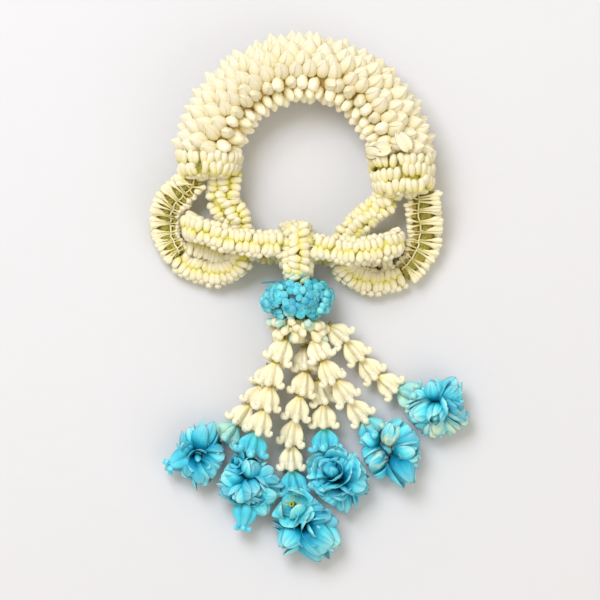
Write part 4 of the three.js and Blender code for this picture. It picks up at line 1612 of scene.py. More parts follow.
@dataclass
class Knot(Assembly):
    """The short thick strand that binds the loops over the tassel."""

    top: Point = (-4.2, -28.6, 16.9)
    foot: Point = (-4.1, -59.4, 16.9)
    least: Pair = (5.6, 10.5)
    swell: Pair = (5.2, 6.0)
    narrowing: float = 1.2
    dome: Point = (4.4, 0, 9.4)
    dome_back: Point = (0, -6.2, 0)
    dome_buds: int = 22

    def halves(self, share: Array) -> tuple[Array, Array]:
        """Swells the knot in its middle.

        Args:
            share: Places as shares of its length.

        Returns:
            Half its width and half its thickness.
        """
        (wide, thick), (wider, thicker) = self.least, self.swell
        wide = wide + wider * np.sin(np.pi * np.clip(0.06 + share * 0.8, 0, 1)) - self.narrowing * share
        thick = thick + thicker * np.sin(np.pi * np.clip(0.05 + share * 0.85, 0, 1))
        return wide, thick

    def build(self) -> Iterator[Heap]:
        """Winds the strand and rounds its top.

        Yields:
            The knot.
        """
        route = Route.straight(self.top, self.foot)
        heap = Heap("knot_buds", "knot", "small_bud")
        Strand(
            "knot", route, 2.6, route.length + 0.8, self.halves, rows=11, pitch=3.7, bud=(4.7, 7.4), sink=2.0,
            squareness=0.75, seed=81, core_share=0.7, lumps=1.8, fan=0.8, scatter=0.34, dye=0.55,
            dye_from=-50.5,
        ).fill(heap)
        self.round_top(heap)
        yield heap

    def round_top(self, heap: Heap) -> None:
        """Closes the knot's upper end with buds that stand out of it in a dome.

        Args:
            heap: Where the buds go.
        """
        random = np.random.default_rng(83)
        count = self.dome_buds
        angle = spiral(count)
        reach = np.sqrt((np.arange(count) + 0.5) / count)
        across = np.stack([np.cos(angle) * reach, np.zeros(count), np.sin(angle) * reach], axis=1)
        origin = np.array(self.top) + across * self.dome + self.dome_back
        axis = unit(across * (0.8, 0, 0.8) + (0, 1, 0) + random.normal(0, 0.14, (count, 3)))
        length = random.uniform(6.2, 7.4, count) - 0.8 * reach
        head = random.uniform(*SMALL_HALF, count)
        spots = Spots.round(origin, axis, Z_AXIS, head, length, angle)
        heap.add_varied(SMALL_BUD, spots, SMALL, random)


# Tassel


@dataclass
class Band(Assembly):
    """The dyed band: round buds stand out all round the bundle of threads, over a dark core painted as shade.
    """

    start: Point = (-4.1, -50.0, 17.6)
    end: Point = (-3.1, -93.5, 17.6)
    from_distance: float = 10.6
    to_distance: float = 31.8
    radius: float = 20.4
    flattening: float = 0.7
    core_share: float = 0.76
    count: int = 64
    head: float = 5.2
    heads: Pair = (0.66, 1.1)
    lengths: Pair = (8.0, 9.5)
    reaches: Pair = (0.84, 1.04)
    jitter: float = 0.16
    lean: float = 1.3
    pale_share: float = 0.25
    paleness: Pair = (0.2, 0.5)
    seed: int = 91

    def girth(self, place: Array) -> Array:
        """Gives the share of the full radius at a place from -1 to 1 along the band."""
        return np.sqrt(1 - self.flattening * place**2)

    def build(self) -> Iterator[Heap]:
        """Sets the buds in a spiral, a few of them paler.

        Yields:
            The band.
        """
        random = np.random.default_rng(self.seed)
        route = Route.straight(self.start, self.end)
        length = self.to_distance - self.from_distance
        count = self.count
        share = np.clip(jittered(random, (np.arange(count) + 0.5) / count, 0.03), 0.02, 0.98)
        angle = jittered(random, spiral(count), self.jitter)
        at = route.at(self.from_distance + (0.05 + 0.88 * share) * length)
        out = at.across(angle)
        lean = (share - 0.5) * self.lean
        axis = unit(out + at.along * lean[:, None] + random.normal(0, self.jitter, (count, 3)))
        reach = self.radius * self.girth(2 * share - 1) * random.uniform(*self.reaches, count)
        long = random.uniform(*self.lengths, count)
        head = self.head * random.uniform(*self.heads, count)
        origin = at.point + out * reach[:, None] - axis * long[:, None]
        size = np.stack([head, head * random.uniform(0.78, 1.0, count), long], axis=1)
        spots = Spots.pointing(origin, axis, at.along, size, random.uniform(0, ANY_TURN, count))
        chosen = random.uniform(0, 1, count) < self.pale_share
        pale = np.where(chosen, random.uniform(*self.paleness, count), 0.0)
        pale = pale + 0.4 * smooth_step(share, 0.65, 1.0) * smooth_step(-out[:, 0], -0.7, 0.5)
        heap = Heap("dyed_band_buds", "dyed_band", "blue_bud")
        heap.add_varied(ROUND_BUD, spots, DYED_BUDS, random, pale)
        marks = np.linspace(self.from_distance + 2.0, self.to_distance - 1.5, 7)
        swell = self.radius * self.core_share * self.girth(np.linspace(-1, 1, 7))
        # The core's dark teal is painted shade between the buds.
        heap.add_one(tube(route.at(marks).point, swell, 18), SHADED_DYE)
        yield heap


@dataclass
class Skirt(Assembly):
    """Small buds on long stalks that spread from under the band."""

    start: Point = (-4.0, -81.5, 17.6)
    end: Point = (-3.2, -94.0, 17.6)
    count: int = 52
    halves: Pair = (16.8, 13.4)
    reaches: Pair = (0.5, 1.06)
    heads: Pair = (2.1, 2.95)
    core: Pair = (7.6, 3.4)
    pale_share: float = 0.3
    paleness: float = 0.62
    seed: int = 92

    def build(self) -> Iterator[Heap]:
        """Spreads the buds, some of which took up a little dye.

        Yields:
            The skirt.
        """
        random = np.random.default_rng(self.seed)
        count = self.count
        low, high = np.array(self.start), np.array(self.end)
        angle = spiral(count)
        share = random.uniform(0.15, 1.0, count)
        middle = low + (high - low) * share[:, None]
        wide, thick = self.halves
        out = np.stack([np.cos(angle) * wide, np.zeros(count), np.sin(angle) * thick], axis=1)
        reach = random.uniform(*self.reaches, count) * (1.04 - 0.12 * share)
        foot = low + (high - low) * (share[:, None] * 0.35 - 0.25) + out * 0.3
        axis = middle + out * reach[:, None] - foot
        length = np.linalg.norm(axis, axis=1)
        head = random.uniform(*self.heads, count)
        spots = Spots.round(foot, axis, Z_AXIS, head, length, random.uniform(0, ANY_TURN, count))
        pale = np.where(random.uniform(0, 1, count) < self.pale_share, self.paleness, 0.0)
        heap = Heap("skirt_buds", "skirt", "small_bud")
        heap.add_varied(CLUB_BUD, spots, STALKS, random, pale)
        heap.add_one(tube(np.linspace(low, high, 6), np.linspace(*self.core, 6), 14), STALKS)
        yield heap


class Kind(Enum):
    """The kinds of dyed blossom in the clusters."""

    STAR = "pointed petals laid open round a small heart"
    TULIP = "narrow pointed petals that close round a slim bud"
    CUP = "broad petals half closed round a bud"
    ROSE = "many layers of waved petals"
    BUD = "a closed double bud"
    SPREAD = "five broad petals laid open round a yellow centre"
    CROWN = "a crown flower whose horns close at its tip"


@dataclass(frozen=True)
class Blossom:
    """One blossom of a cluster: the way it faces in degrees, its size and how much dye it has missed.

    Its root stands at an offset from the cluster's middle, or else just off the middle the way it faces.
    """

    turn: float
    lift: float
    size: float
    kind: Kind
    pale: float = 0.0
    root: Point | None = None

    def facing(self) -> Array:
        """Gives the way it opens."""
        turn, lift = math.radians(self.turn), math.radians(self.lift)
        return np.array([math.cos(lift) * math.cos(turn), math.cos(lift) * math.sin(turn), math.sin(lift)])


@dataclass(frozen=True)
class Thread:
    """One thread of the tassel: where it leaves the bundle, its joints and the cluster at its end."""

    letter: str
    joints: tuple[Point, ...]
    middle: Point
    blossoms: tuple[Blossom, ...]
    leads: tuple[Point, ...] = ()
    leaves: Point = (-3.111, -93.0, 17.6)
    pale: float = 0.0

    @property
    def nodes(self) -> list[str]:
        """The names of its crown flowers, the dyed one last."""
        plain = [f"crown_{self.letter}{k + 1}" for k in range(len(self.joints) - 2)]
        return [*plain, f"dyed_crown_{self.letter}"]


THREADS = (
    Thread(
        "A",
        ((-18.6, -106, 7.9), (-23, -116.8, 7.9), (-29, -127.1, 7.9), (-36.5, -137.4, 8), (-44, -145.4, 9)),
        (-57.6, -152.5, 8),
        (
            Blossom(205, 12, 1.3, Kind.CROWN, 0.05),
            Blossom(285, 68, 1.08, Kind.STAR, 0.16),
            Blossom(280, 4, 1.28, Kind.TULIP),
            Blossom(241, 2, 1.0, Kind.CUP),
            Blossom(312, 8, 1.1, Kind.CUP),
            Blossom(145, 16, 0.76, Kind.CUP, 0.1),
            Blossom(104, 12, 0.98, Kind.CUP, 0.34),
            Blossom(66, 18, 1.36, Kind.TULIP, 0.1),
            Blossom(348, 8, 1.1, Kind.CUP),
        ),
        leads=((-9, -99, 8),),
        pale=0.6,
    ),
    Thread(
        "B",
        ((-9.5, -91.8, 20), (-15.4, -104, 22), (-18.6, -116.4, 22), (-21.4, -129, 20), (-25.6, -140.9, 17),
         (-29, -152.4, 14.5)),
        (-30, -170, 9.5),
        (
            Blossom(82, 52, 0.98, Kind.BUD, 0.26, root=(1.0, 6.5, 3.0)),
            Blossom(116, 44, 0.92, Kind.STAR, 0.06, root=(-5.0, 10.5, 2.5)),
            Blossom(168, 10, 1.1, Kind.TULIP, root=(-3.5, 1.5, 1.0)),
            Blossom(330, 60, 1.08, Kind.CUP, 0.02),
            Blossom(218, 46, 1.0, Kind.BUD),
            Blossom(288, 44, 0.84, Kind.BUD),
            Blossom(260, 4, 1.34, Kind.CROWN, 0.04, root=(-0.8, -7.4, 0.0)),
            Blossom(44, 12, 1.14, Kind.CUP, 0.04),
            Blossom(198, 2, 1.05, Kind.CUP),
            Blossom(312, 0, 1.3, Kind.TULIP),
            Blossom(352, 8, 1.25, Kind.CUP, 0.02),
            Blossom(140, 4, 1.2, Kind.CUP),
        ),
        pale=0.16,
    ),
    Thread(
        "C",
        ((0.3, -96, 10.8), (0.6, -109, 14), (-2.8, -121.6, 15), (-5.3, -134.4, 11.5), (-7.4, -148, 8),
         (-7.4, -161.6, 8), (-5.6, -174.2, 8.5)),
        (-0.8, -189.5, 8.5),
        (
            Blossom(118, 66, 1.08, Kind.SPREAD, 0.3, root=(-5.5, 8.5, 4.5)),
            Blossom(344, 62, 1.24, Kind.ROSE, 0.05, root=(3.2, -0.6, 1.5)),
            Blossom(230, 16, 1.18, Kind.CUP, root=(-2.6, -3.0, 0.5)),
            Blossom(297, 0, 1.56, Kind.CUP),
            Blossom(327, 3, 1.5, Kind.CUP),
            Blossom(4, 10, 1.24, Kind.CUP, 0.06),
            Blossom(168, 4, 1.08, Kind.CUP, 0.1),
            Blossom(34, 6, 1.2, Kind.CUP),
            Blossom(66, 8, 1.2, Kind.TULIP),
        ),
    ),
    Thread(
        "D",
        ((6.5, -113.4, 7.8), (10.3, -126.4, 7.8), (10.4, -139.2, 8), (11.6, -151.4, 9)),
        (18, -166, 8.5),
        (
            Blossom(124, 74, 1.34, Kind.ROSE, 0.06, root=(-2.0, 2.4, 1.5)),
            Blossom(264, 24, 1.14, Kind.ROSE, 0.04, root=(-1.0, -4.0, 0.0)),
            Blossom(340, 8, 1.12, Kind.CUP),
            Blossom(282, -2, 1.3, Kind.TULIP),
            Blossom(68, 12, 1.1, Kind.CUP, 0.05),
            Blossom(152, 12, 1.08, Kind.CUP),
            Blossom(196, 4, 1.2, Kind.CUP),
            Blossom(228, 0, 1.2, Kind.CUP),
            Blossom(16, 8, 1.2, Kind.CUP, 0.08),
            Blossom(44, 6, 1.25, Kind.TULIP),
        ),
        leads=((4.5, -95.5, 5),),
    ),
    Thread(
        "E",
        ((4, -91.8, 21), (9.4, -102.8, 22.5), (15.8, -113.6, 20), (23.2, -124.4, 15.2), (31.5, -134.2, 10.5),
         (37.8, -142.4, 9.5)),
        (45.5, -151.4, 8.2),
        (
            Blossom(78, 24, 1.02, Kind.BUD, 0.52, root=(-0.6, 3.4, 3.0)),
            Blossom(8, 26, 1.1, Kind.BUD, 0.42, root=(1.6, 0.2, 3.4)),
            Blossom(206, 24, 1.06, Kind.BUD, 0.38, root=(-2.6, -1.4, 3.0)),
            Blossom(300, 14, 1.36, Kind.BUD, 0.04, root=(1.0, -2.6, 1.6)),
            Blossom(158, 14, 0.86, Kind.CUP, root=(-6.5, 4.5, 0.0)),
            Blossom(338, 0, 1.1, Kind.CUP, 0.36),
            Blossom(48, 8, 1.4, Kind.CUP),
            Blossom(240, 0, 0.92, Kind.TULIP),
            Blossom(212, 0, 1.3, Kind.CUP),
        ),
        pale=0.46,
    ),
    Thread(
        "F",
        ((12.6, -85, 12.5), (21.6, -92.6, 11), (29.6, -102.6, 9), (38.6, -111.6, 8.2), (49, -119, 8),
         (59, -123.4, 9)),
        (70.8, -127.6, 8.2),
        (
            Blossom(196, 18, 1.12, Kind.CUP, 0.4, root=(-3.4, -0.6, 0.5)),
            Blossom(258, 62, 0.98, Kind.BUD, 0.02, root=(-0.8, -1.0, 3.0)),
            Blossom(104, 26, 1.04, Kind.BUD, root=(-1.0, 3.2, 1.0)),
            Blossom(55, 10, 1.2, Kind.CUP, 0.08),
            Blossom(12, 30, 1.16, Kind.ROSE, 0.3, root=(3.6, 0.8, 1.0)),
            Blossom(252, 4, 1.16, Kind.CUP, 0.6),
            Blossom(322, 2, 1.16, Kind.CUP, 0.54),
            Blossom(284, 0, 1.06, Kind.TULIP, 0.5),
            Blossom(150, 6, 1.0, Kind.CUP),
            Blossom(216, 2, 1.3, Kind.CUP, 0.3),
        ),
        leaves=(-3.282, -85.6, 17.6),
        pale=0.62,
    ),
)


def turned_to(direction: Array) -> Array:
    """Gives the shortest turn that brings Z to a direction.

    Args:
        direction: Of any length.

    Returns:
        The turned X, Y and Z.
    """
    z = unit(direction)
    axis = np.array([-z[1], z[0], 0.0])
    skew = np.array([[0, -axis[2], axis[1]], [axis[2], 0, -axis[0]], [-axis[1], axis[0], 0]])
    matrix = np.eye(3) + skew + skew @ skew / (1 + float(z[2]))
    return matrix.T


@dataclass(frozen=True)
class CrownShape:
    """A crown flower a unit long and true to size across: five fins, each with a curled horn at its end.

    A level is a height with the radius of the fins and of the valleys between them. A horn's point is a
    radius, a height and a thickness.
    """

    steps: tuple[float, ...]
    levels: tuple[Point, ...]
    horn: tuple[Point, ...]
    horn_unit: float = 1.0
    horn_sides: int = 8
    horn_grow: float = 0.8
    power: float = 2.0
    rounding: float = 0.6
    valley: float = 1.0
    pinch: float = 0.0
    veined_by_lobe: bool = False
    lobes: int = 5
    length: float = 13.0

    def form(self) -> Form:
        """Builds the flower along Z, its root at zero.

        Returns:
            The flower.
        """
        height, ridge, valley = (column[:, None] for column in np.array(self.levels).T)
        local = np.tile(np.array(self.steps), self.lobes)
        lobe = np.repeat(np.arange(self.lobes), len(self.steps))
        rise = (1 - np.abs(2 * local) ** self.power) ** self.rounding
        valley = valley * self.valley
        radius = valley + (ridge - valley) * rise[None, :]
        pinch = self.pinch * smooth_step(height, 0.5, 0.9) * np.sin(4 * np.pi * local)[None, :]
        turn = ((lobe + local) * 2 * np.pi / self.lobes)[None, :] + pinch
        across = lobe + local + 0.5 if self.veined_by_lobe else np.linspace(0, 1, len(local))
        body = closed_skin(round_rings(radius, turn, height), height[:, 0], across)
        horn = np.array(self.horn)
        path = np.stack([horn[:, 0], np.zeros(len(horn)), horn[:, 1] / self.horn_unit], axis=1)
        scale = np.array([1, 1, self.length])
        knob = tube(path * scale, horn[:, 2], self.horn_sides)
        grow = self.horn_grow + (1 - self.horn_grow) * knob.grow
        knob = Form(knob.points / scale, knob.faces, grow, knob.across)
        return joined([body, *(knob.turned(k * 2 * math.pi / self.lobes) for k in range(self.lobes))])


OPEN_CROWN = CrownShape(
    steps=(-0.5, -0.4, -0.28, -0.17, -0.08, 0.0, 0.08, 0.17, 0.28, 0.4),
    levels=((0.02, 1.6, 1.2), (0.09, 2.5, 1.6), (0.18, 3.8, 2.2), (0.28, 5.1, 2.8), (0.4, 6.3, 3.3),
            (0.52, 6.9, 3.5), (0.63, 6.9, 3.5), (0.74, 6.5, 3.3), (0.84, 5.9, 2.9), (0.92, 4.4, 2.4),
            (0.985, 2.2, 1.8)),
    horn=((4.7, 8.2, 1.5), (4.8, 9.8, 1.9), (5.2, 11.1, 2.1), (6.0, 11.9, 2.0), (6.9, 11.9, 1.8),
          (7.4, 11.2, 1.6), (7.3, 10.5, 1.2), (6.9, 10.2, 0.6)),
    horn_unit=13.0, horn_sides=9, horn_grow=0.72, power=0.95, rounding=1.0, valley=0.9, pinch=0.16,
    veined_by_lobe=True,
).form()
CLOSED_CROWN = CrownShape(
    steps=(-0.5, -0.42, -0.26, 0.0, 0.26, 0.42),
    levels=((0.0, 2.0, 1.6), (0.12, 4.0, 2.2), (0.26, 5.6, 2.9), (0.42, 6.0, 3.2), (0.58, 5.2, 2.9),
            (0.74, 3.8, 2.3), (0.88, 2.4, 1.7), (0.96, 1.5, 1.2)),
    horn=((1.0, 0.86, 1.0), (1.9, 0.97, 1.1), (2.9, 1.0, 1.15), (3.4, 0.95, 1.05), (3.2, 0.9, 0.7)),
).form()


@dataclass
class CrownFlowers(Assembly):
    """The crown flowers on one thread, the last of them dyed and a little larger."""

    thread: Thread
    order: int
    swelling: float = 1.16
    star: Point = (3.5, 3.5, 2.1)

    def build(self) -> Iterator[Heap]:
        """Strings each flower between two joints, with a star of brown sepals at its root.

        Yields:
            The thread's flowers, from its top down.
        """
        random = np.random.default_rng(200 + self.order)
        joints = np.array(self.thread.joints)
        for name, foot, tip in zip(self.thread.nodes, joints, joints[1:]):
            span = tip - foot
            dyed = name.startswith("dyed")
            swell = random.uniform(0.97, 1.03, 3) * (self.swelling if dyed else 1.0)
            length = float(np.linalg.norm(span))
            basis = turned_to(span) * np.array([swell[0], swell[1], length])[:, None]
            roll = math.atan2(basis[1, 2], basis[0, 2]) + float(random.uniform(-0.3, 0.3))
            heap = Heap(f"{name}_flower", name, "blue_bloom" if dyed else "crown_flower")
            tint = float(random.uniform(0, 1))
            finish, pale = (DYED_CROWN, self.thread.pale) if dyed else (CROWN, 0.0)
            heap.add(OPEN_CROWN.turned(roll), Spots.one(foot, basis), finish, tint, pale)
            root = foot[None] + unit(span) * JOINT_GAP
            heap.add(SEPALS, Spots.pointing(root, -span[None], Z_AXIS + 0.3, self.star, roll), BROWN, tint)
            yield heap


@dataclass(frozen=True)
class Petal:
    """A petal's side view as four guiding points of radius and height, with its width and its waves."""

    guide: tuple[Pair, ...]
    half_width: float
    ruffle: float = 0.3
    bluntness: float = 0.8
    wrap: float = 1.1
    taper_from: float = 0.42
    thickness: float = 0.42
    crease: float = 0.3
    crease_width: float = 0.16
    droop: float = 0.12
    rows: int = 11
    columns: int = 9

    def form(self, random: Random) -> Form:
        """Builds the petal at the start of a flower's turn.

        Args:
            random: What varies its waves.

        Returns:
            The closed petal.
        """
        v = 1 - (1 - np.linspace(0, 1, self.rows)[:, None]) ** 1.5
        u = np.linspace(-1, 1, self.columns)[None, :]
        surface = self.curved(u, v, random)
        phase = random.uniform(0, ANY_TURN, 2)
        wave = np.sin(2.6 * u + phase[0]) + 0.45 * np.sin(6.5 * u + 3 * v + phase[1])
        crease = -self.crease * np.exp(-((u / self.crease_width) ** 2)) * np.sqrt(1 - v)
        normal = unit(np.cross(np.gradient(surface, axis=1), np.gradient(surface, axis=0)))
        surface = surface + normal * (self.ruffle * v**1.5 * wave + crease)[..., None]
        edge = (1 - u**4) * np.minimum(1, (1 - v) * 5) * np.minimum(1, v * 5)
        offset = normal * (self.thickness / 2 * edge)[..., None]
        return self.closed(surface + offset, surface - offset, v, u)

    def curved(self, u: Array, v: Array, random: Random) -> Array:
        """Bends the petal along its side view and round the flower.

        Args:
            u: Places across it, from -1 to 1.
            v: Places along it, from 0 to 1.
            random: What varies its size.

        Returns:
            Its middle surface.
        """
        guide = np.array(self.guide) * random.uniform(0.94, 1.06, (4, 1))
        weights = np.stack([(1 - v) ** 3, 3 * v * (1 - v) ** 2, 3 * v**2 * (1 - v), v**3], axis=-1)
        radius, height = (weights @ guide[:, axis] for axis in (0, 1))
        narrow = 0.34 + 0.66 * smooth_step(v, 0.0, 0.5)
        taper = np.clip((v - self.taper_from) / (1.0 - self.taper_from), 0, 1)
        pointed = np.maximum((1 - taper**1.8) ** self.bluntness, 0.05)
        half = self.half_width * narrow * pointed * random.uniform(0.92, 1.08)
        bend = np.maximum(radius * self.wrap, half * 0.75)
        turn = u * half / bend
        droop = np.maximum(0, np.abs(u) - 0.2) * self.droop * half
        x = radius - bend * (1 - np.cos(turn))
        return np.stack([x, bend * np.sin(turn), np.broadcast_to(height - droop * v, x.shape)], axis=-1)

    def closed(self, upper: Array, lower: Array, v: Array, u: Array) -> Form:
        """Joins two sheets of points at their rims.

        Args:
            upper: The inner sheet.
            lower: The outer sheet.
            v: Places along them.
            u: Places across them.

        Returns:
            The closed petal.
        """
        count = self.rows * self.columns
        index = np.arange(count).reshape(self.rows, self.columns)
        under = index + count
        for rim in (np.s_[0, :], np.s_[-1, :], np.s_[:, 0], np.s_[:, -1]):
            under[rim] = index[rim]
        first, last = np.s_[:-1], np.s_[1:]
        corners = ((first, first), (first, last), (last, last), (last, first))
        outer = np.stack([index[corner] for corner in corners], axis=-1)
        inner = np.stack([under[corner] for corner in (corners[0], *corners[:0:-1])], axis=-1)
        faces = np.vstack([outer.reshape(-1, 4), inner.reshape(-1, 4)])
        used, packed = np.unique(faces, return_inverse=True)
        points = np.vstack([upper.reshape(-1, 3), lower.reshape(-1, 3)])[used]
        grow, across = (np.broadcast_to(value, index.shape).ravel() for value in (v, (u + 1) / 2))
        return Form(points, (packed.reshape(faces.shape),), np.tile(grow, 2)[used], np.tile(across, 2)[used])


@dataclass(frozen=True)
class Design:
    """What a kind of blossom is made of: its heart's radius and length, its whorls and their finish.

    A whorl is a petal and how many of it stand round the blossom. A crown flower's radius is a share of its
    full one.
    """

    heart: Pair
    whorls: tuple[tuple[Petal, int], ...] = ()
    finish: PetalFinish = DYED


STAR_OUTER = Petal(((1.4, 0.0), (5.0, 0.4), (8.4, 2.4), (10.8, 5.4)), 4.3, 0.14, 0.66)
STAR_INNER = Petal(((1.0, 0.6), (3.4, 1.6), (5.2, 5.0), (6.4, 9.0)), 3.5, 0.1, 0.66)
CUP_INNER = Petal(((2.2, 0.0), (6.6, 0.8), (7.4, 7.0), (2.4, 13.2)), 6.4, 0.06, 0.48)
CUP_OUTER = Petal(((2.4, -0.2), (8.0, 0.2), (9.4, 6.2), (4.8, 11.6)), 6.4, 0.12, 0.44)
TULIP_INNER = Petal(((1.6, 0.0), (4.8, 1.2), (5.2, 7.0), (2.4, 13.4)), 4.9, 0.06, 0.66)
TULIP_OUTER = Petal(((1.8, -0.2), (5.6, 0.8), (6.8, 6.4), (3.8, 11.6)), 4.9, 0.1, 0.56)
ROSE_OUTER = Petal(((2.2, 0.0), (7.2, 0.4), (9.6, 3.8), (11.0, 7.2)), 6.4, 0.32, 0.48)
ROSE_MIDDLE = Petal(((1.8, 0.4), (5.6, 1.6), (7.4, 6.0), (7.8, 10.2)), 5.6, 0.3, 0.48)
ROSE_INNER = Petal(((1.4, 0.6), (3.6, 2.6), (4.6, 7.6), (4.2, 11.4)), 4.4, 0.2, 0.5)
BUD_PETAL = Petal(((2.0, 0.0), (6.2, 1.0), (6.8, 7.4), (2.6, 13.2)), 6.4, 0.05, 0.56)
SPREAD_PETAL = Petal(((1.6, 0.0), (5.5, 1.2), (9.5, 3.0), (12.6, 3.6)), 6.0, 0.22, 0.48, wrap=1.6)
DESIGNS: dict[Kind, Design] = {
    Kind.STAR: Design((2.0, 8.6), ((STAR_OUTER, 6), (STAR_INNER, 4))),
    Kind.CUP: Design((5.2, 12.0), ((CUP_INNER, 3), (CUP_OUTER, 3))),
    Kind.TULIP: Design((3.6, 12.4), ((TULIP_INNER, 3), (TULIP_OUTER, 3))),
    Kind.ROSE: Design((2.6, 10.4), ((ROSE_OUTER, 5), (ROSE_MIDDLE, 4), (ROSE_INNER, 3))),
    Kind.BUD: Design((5.6, 12.8), ((BUD_PETAL, 3), (BUD_PETAL, 2))),
    Kind.SPREAD: Design((1.4, 3.0), ((SPREAD_PETAL, 5), (CUP_OUTER, 3)), DYED_OPEN),
    Kind.CROWN: Design((0.92, 11.6)),
}


@dataclass
class BlossomCluster(Assembly):
    """The dyed jasmine at a thread's end: double blossoms and plump buds that crowd round its middle."""

    thread: Thread
    order: int
    neighbours: tuple[Point, ...]
    reach: float = 2.4
    clearance: float = 0.25
    margin: float = 3.0
    resting: float = 11.0
    lowest: float = -0.35
    neck: tuple[float, ...] = (1.8, 2.6, 3.6, 4.6, 5.0)

    def fitted(self, points: Array) -> Array:
        """Presses the cluster gently against the table and where it meets its neighbours halfway.

        Args:
            points: Its points.

        Returns:
            The pressed points.
        """
        middle = np.array(self.thread.middle)
        planes = [(-Z_AXIS, float(middle[2]) - TABLE_SKIN)]
        for neighbour in self.neighbours:
            span = np.array(neighbour) - middle
            planes.append((unit(span), float(np.linalg.norm(span)) / 2 - self.clearance))
        for way, limit in planes:
            near = (points - middle) @ way - (limit - self.margin)
            pressed = self.margin * (1 - np.exp(-np.maximum(near, 0) / self.margin))
            points = points - np.where(near > 0, near - pressed, 0)[:, None] * way
        return points

    def build(self) -> Iterator[Heap]:
        """Adds the blossoms and the neck that joins them to the last crown flower.

        Yields:
            The cluster.
        """
        random = np.random.default_rng(300 + self.order)
        name = f"dyed_cluster_{self.thread.letter}"
        heap = Heap(f"{name}_blossoms", name, "blue_bloom", self.fitted)
        middle = np.array(self.thread.middle)
        for blossom in self.thread.blossoms:
            facing = blossom.facing()
            root = facing * self.reach if blossom.root is None else np.array(blossom.root)
            self.add_blossom(heap, random, middle + root, facing, blossom)
        joint = np.array(self.thread.joints[-1])
        neck = np.linspace(joint + unit(middle - joint) * JOINT_GAP, middle, len(self.neck))
        heap.add_one(tube(neck, np.array(self.neck), 12), DYED, 0.4, 0.5)
        yield heap

    def add_blossom(self, heap: Heap, random: Random, foot: Array, facing: Array, blossom: Blossom) -> None:
        """Adds one blossom, petal by petal.

        Args:
            heap: Where it goes.
            random: What varies it.
            foot: Its root.
            facing: The way it opens.
            blossom: Its kind, size and paleness.
        """
        design = DESIGNS[blossom.kind]
        basis = turned_to(facing) * blossom.size
        radius, length = design.heart
        spot = Spots.one(foot, basis * np.array([radius, radius, length])[:, None])
        tint = float(random.uniform(0, 1))
        if blossom.kind is Kind.SPREAD:
            heap.add(SEPALS, spot, YELLOW_HEART, tint)
            self.add_stamens(heap, random, foot + basis[2] * 1.5, basis)
        elif blossom.kind is Kind.CROWN:
            heap.add(CLOSED_CROWN, spot, DYED_CROWN, tint, blossom.pale)
        else:
            heap.add(JASMINE_BUD, spot, DYED, tint, blossom.pale)
        for petal, count in design.whorls:
            start = random.uniform(0, 2 * math.pi)
            for k in range(count):
                turn = start + (k + random.uniform(-0.14, 0.14)) * 2 * math.pi / count
                form = petal.form(random).turned(turn)
                pale = blossom.pale + float(random.uniform(-0.05, 0.12))
                tint = float(random.uniform(0, 1))
                outward = unit(basis[0] * math.cos(turn) + basis[1] * math.sin(turn))
                if outward[2] > self.lowest or foot[2] > self.resting:
                    heap.add(form, Spots.one(foot, basis), design.finish, tint, pale)

    def add_stamens(self, heap: Heap, random: Random, foot: Array, basis: Array, count: int = 7) -> None:
        """Adds the little yellow stalks in an open blossom's middle.

        Args:
            heap: Where they go.
            random: What scatters them.
            foot: The blossom's root.
            basis: Its three ways.
            count: How many.
        """
        turn = np.arange(count) * 2 * np.pi / count
        lean = np.stack([0.35 * np.cos(turn), 0.35 * np.sin(turn), np.ones(count)], axis=1)
        roots = np.repeat(foot[None], count, axis=0)
        spots = Spots.round(roots, lean @ basis, basis[0], 0.6, random.uniform(3.4, 4.6, count))
        heap.add_varied(CLUB_BUD, spots, YELLOW_HEART, random)


@dataclass
class TasselThreads(Assembly):
    """The bundle of threads inside the band, each thread's run to its cluster, and the tie's loose end."""

    bundle: tuple[Point, Point] = ((-4.1, -50.0, 17.6), (-3.1, -93.5, 17.6))
    bundle_radius: float = 1.6
    thread_radius: float = 0.5
    tail: tuple[Point, ...] = (
        (-4.1, -61.0, 16.0), (-12.0, -61.6, 16.8), (-17.5, -61.4, 15.8), (-23.0, -61.9, 15.0),
    )
    tail_radii: Pair = (0.7, 0.5)

    def build(self) -> Iterator[Heap]:
        """Makes the threads one piece.

        Yields:
            The threads.
        """
        heap = Heap("tassel_thread_strands", "tassel_threads", "thread")
        heap.add_one(tube(np.linspace(*self.bundle, 12), self.bundle_radius, 10), COTTON)
        for thread in THREADS:
            joints = np.array(thread.joints)
            middle = np.array(thread.middle)
            inside = middle - unit(middle - joints[-1]) * 1.5
            path = np.vstack([thread.leaves, *thread.leads, *joints, inside])
            heap.add_one(tube(path, self.thread_radius), COTTON)
        tail = Route.through(self.tail)
        path = tail.at(np.linspace(0, tail.length, 16)).point
        heap.add_one(tube(path, np.linspace(*self.tail_radii, 16)), DYED_COTTON)
        yield heap


@dataclass
class HiddenThreads:
    """The threads inside the arch, the rings and the loops, which keep their plain form."""

    names: tuple[str, ...] = ("arch_thread", "ring_thread_left", "ring_thread_right", "loop_thread")

    def dress(self, nodes: dict[str, bpy.types.Object]) -> None:
        """Gives the threads their cotton finish.

        Args:
            nodes: The part's plain solids by name.
        """
        for name in self.names:
            materials = nodes[name].data.materials
            materials.clear()
            materials.append(COTTON.material())
            LOG.info("%s: cotton", name)


# Studio


def shown(name: str, data: bpy.types.ID, place: Sequence[float] = (0, 0, 0)) -> bpy.types.Object:
    """Puts an object into the scene.

    Args:
        name: Its name.
        data: Its mesh, light or camera.
        place: Where it stands, in metres.

    Returns:
        The object.
    """
    item = bpy.data.objects.new(name, data)
    item.location = place
    bpy.context.scene.collection.objects.link(item)
    return item


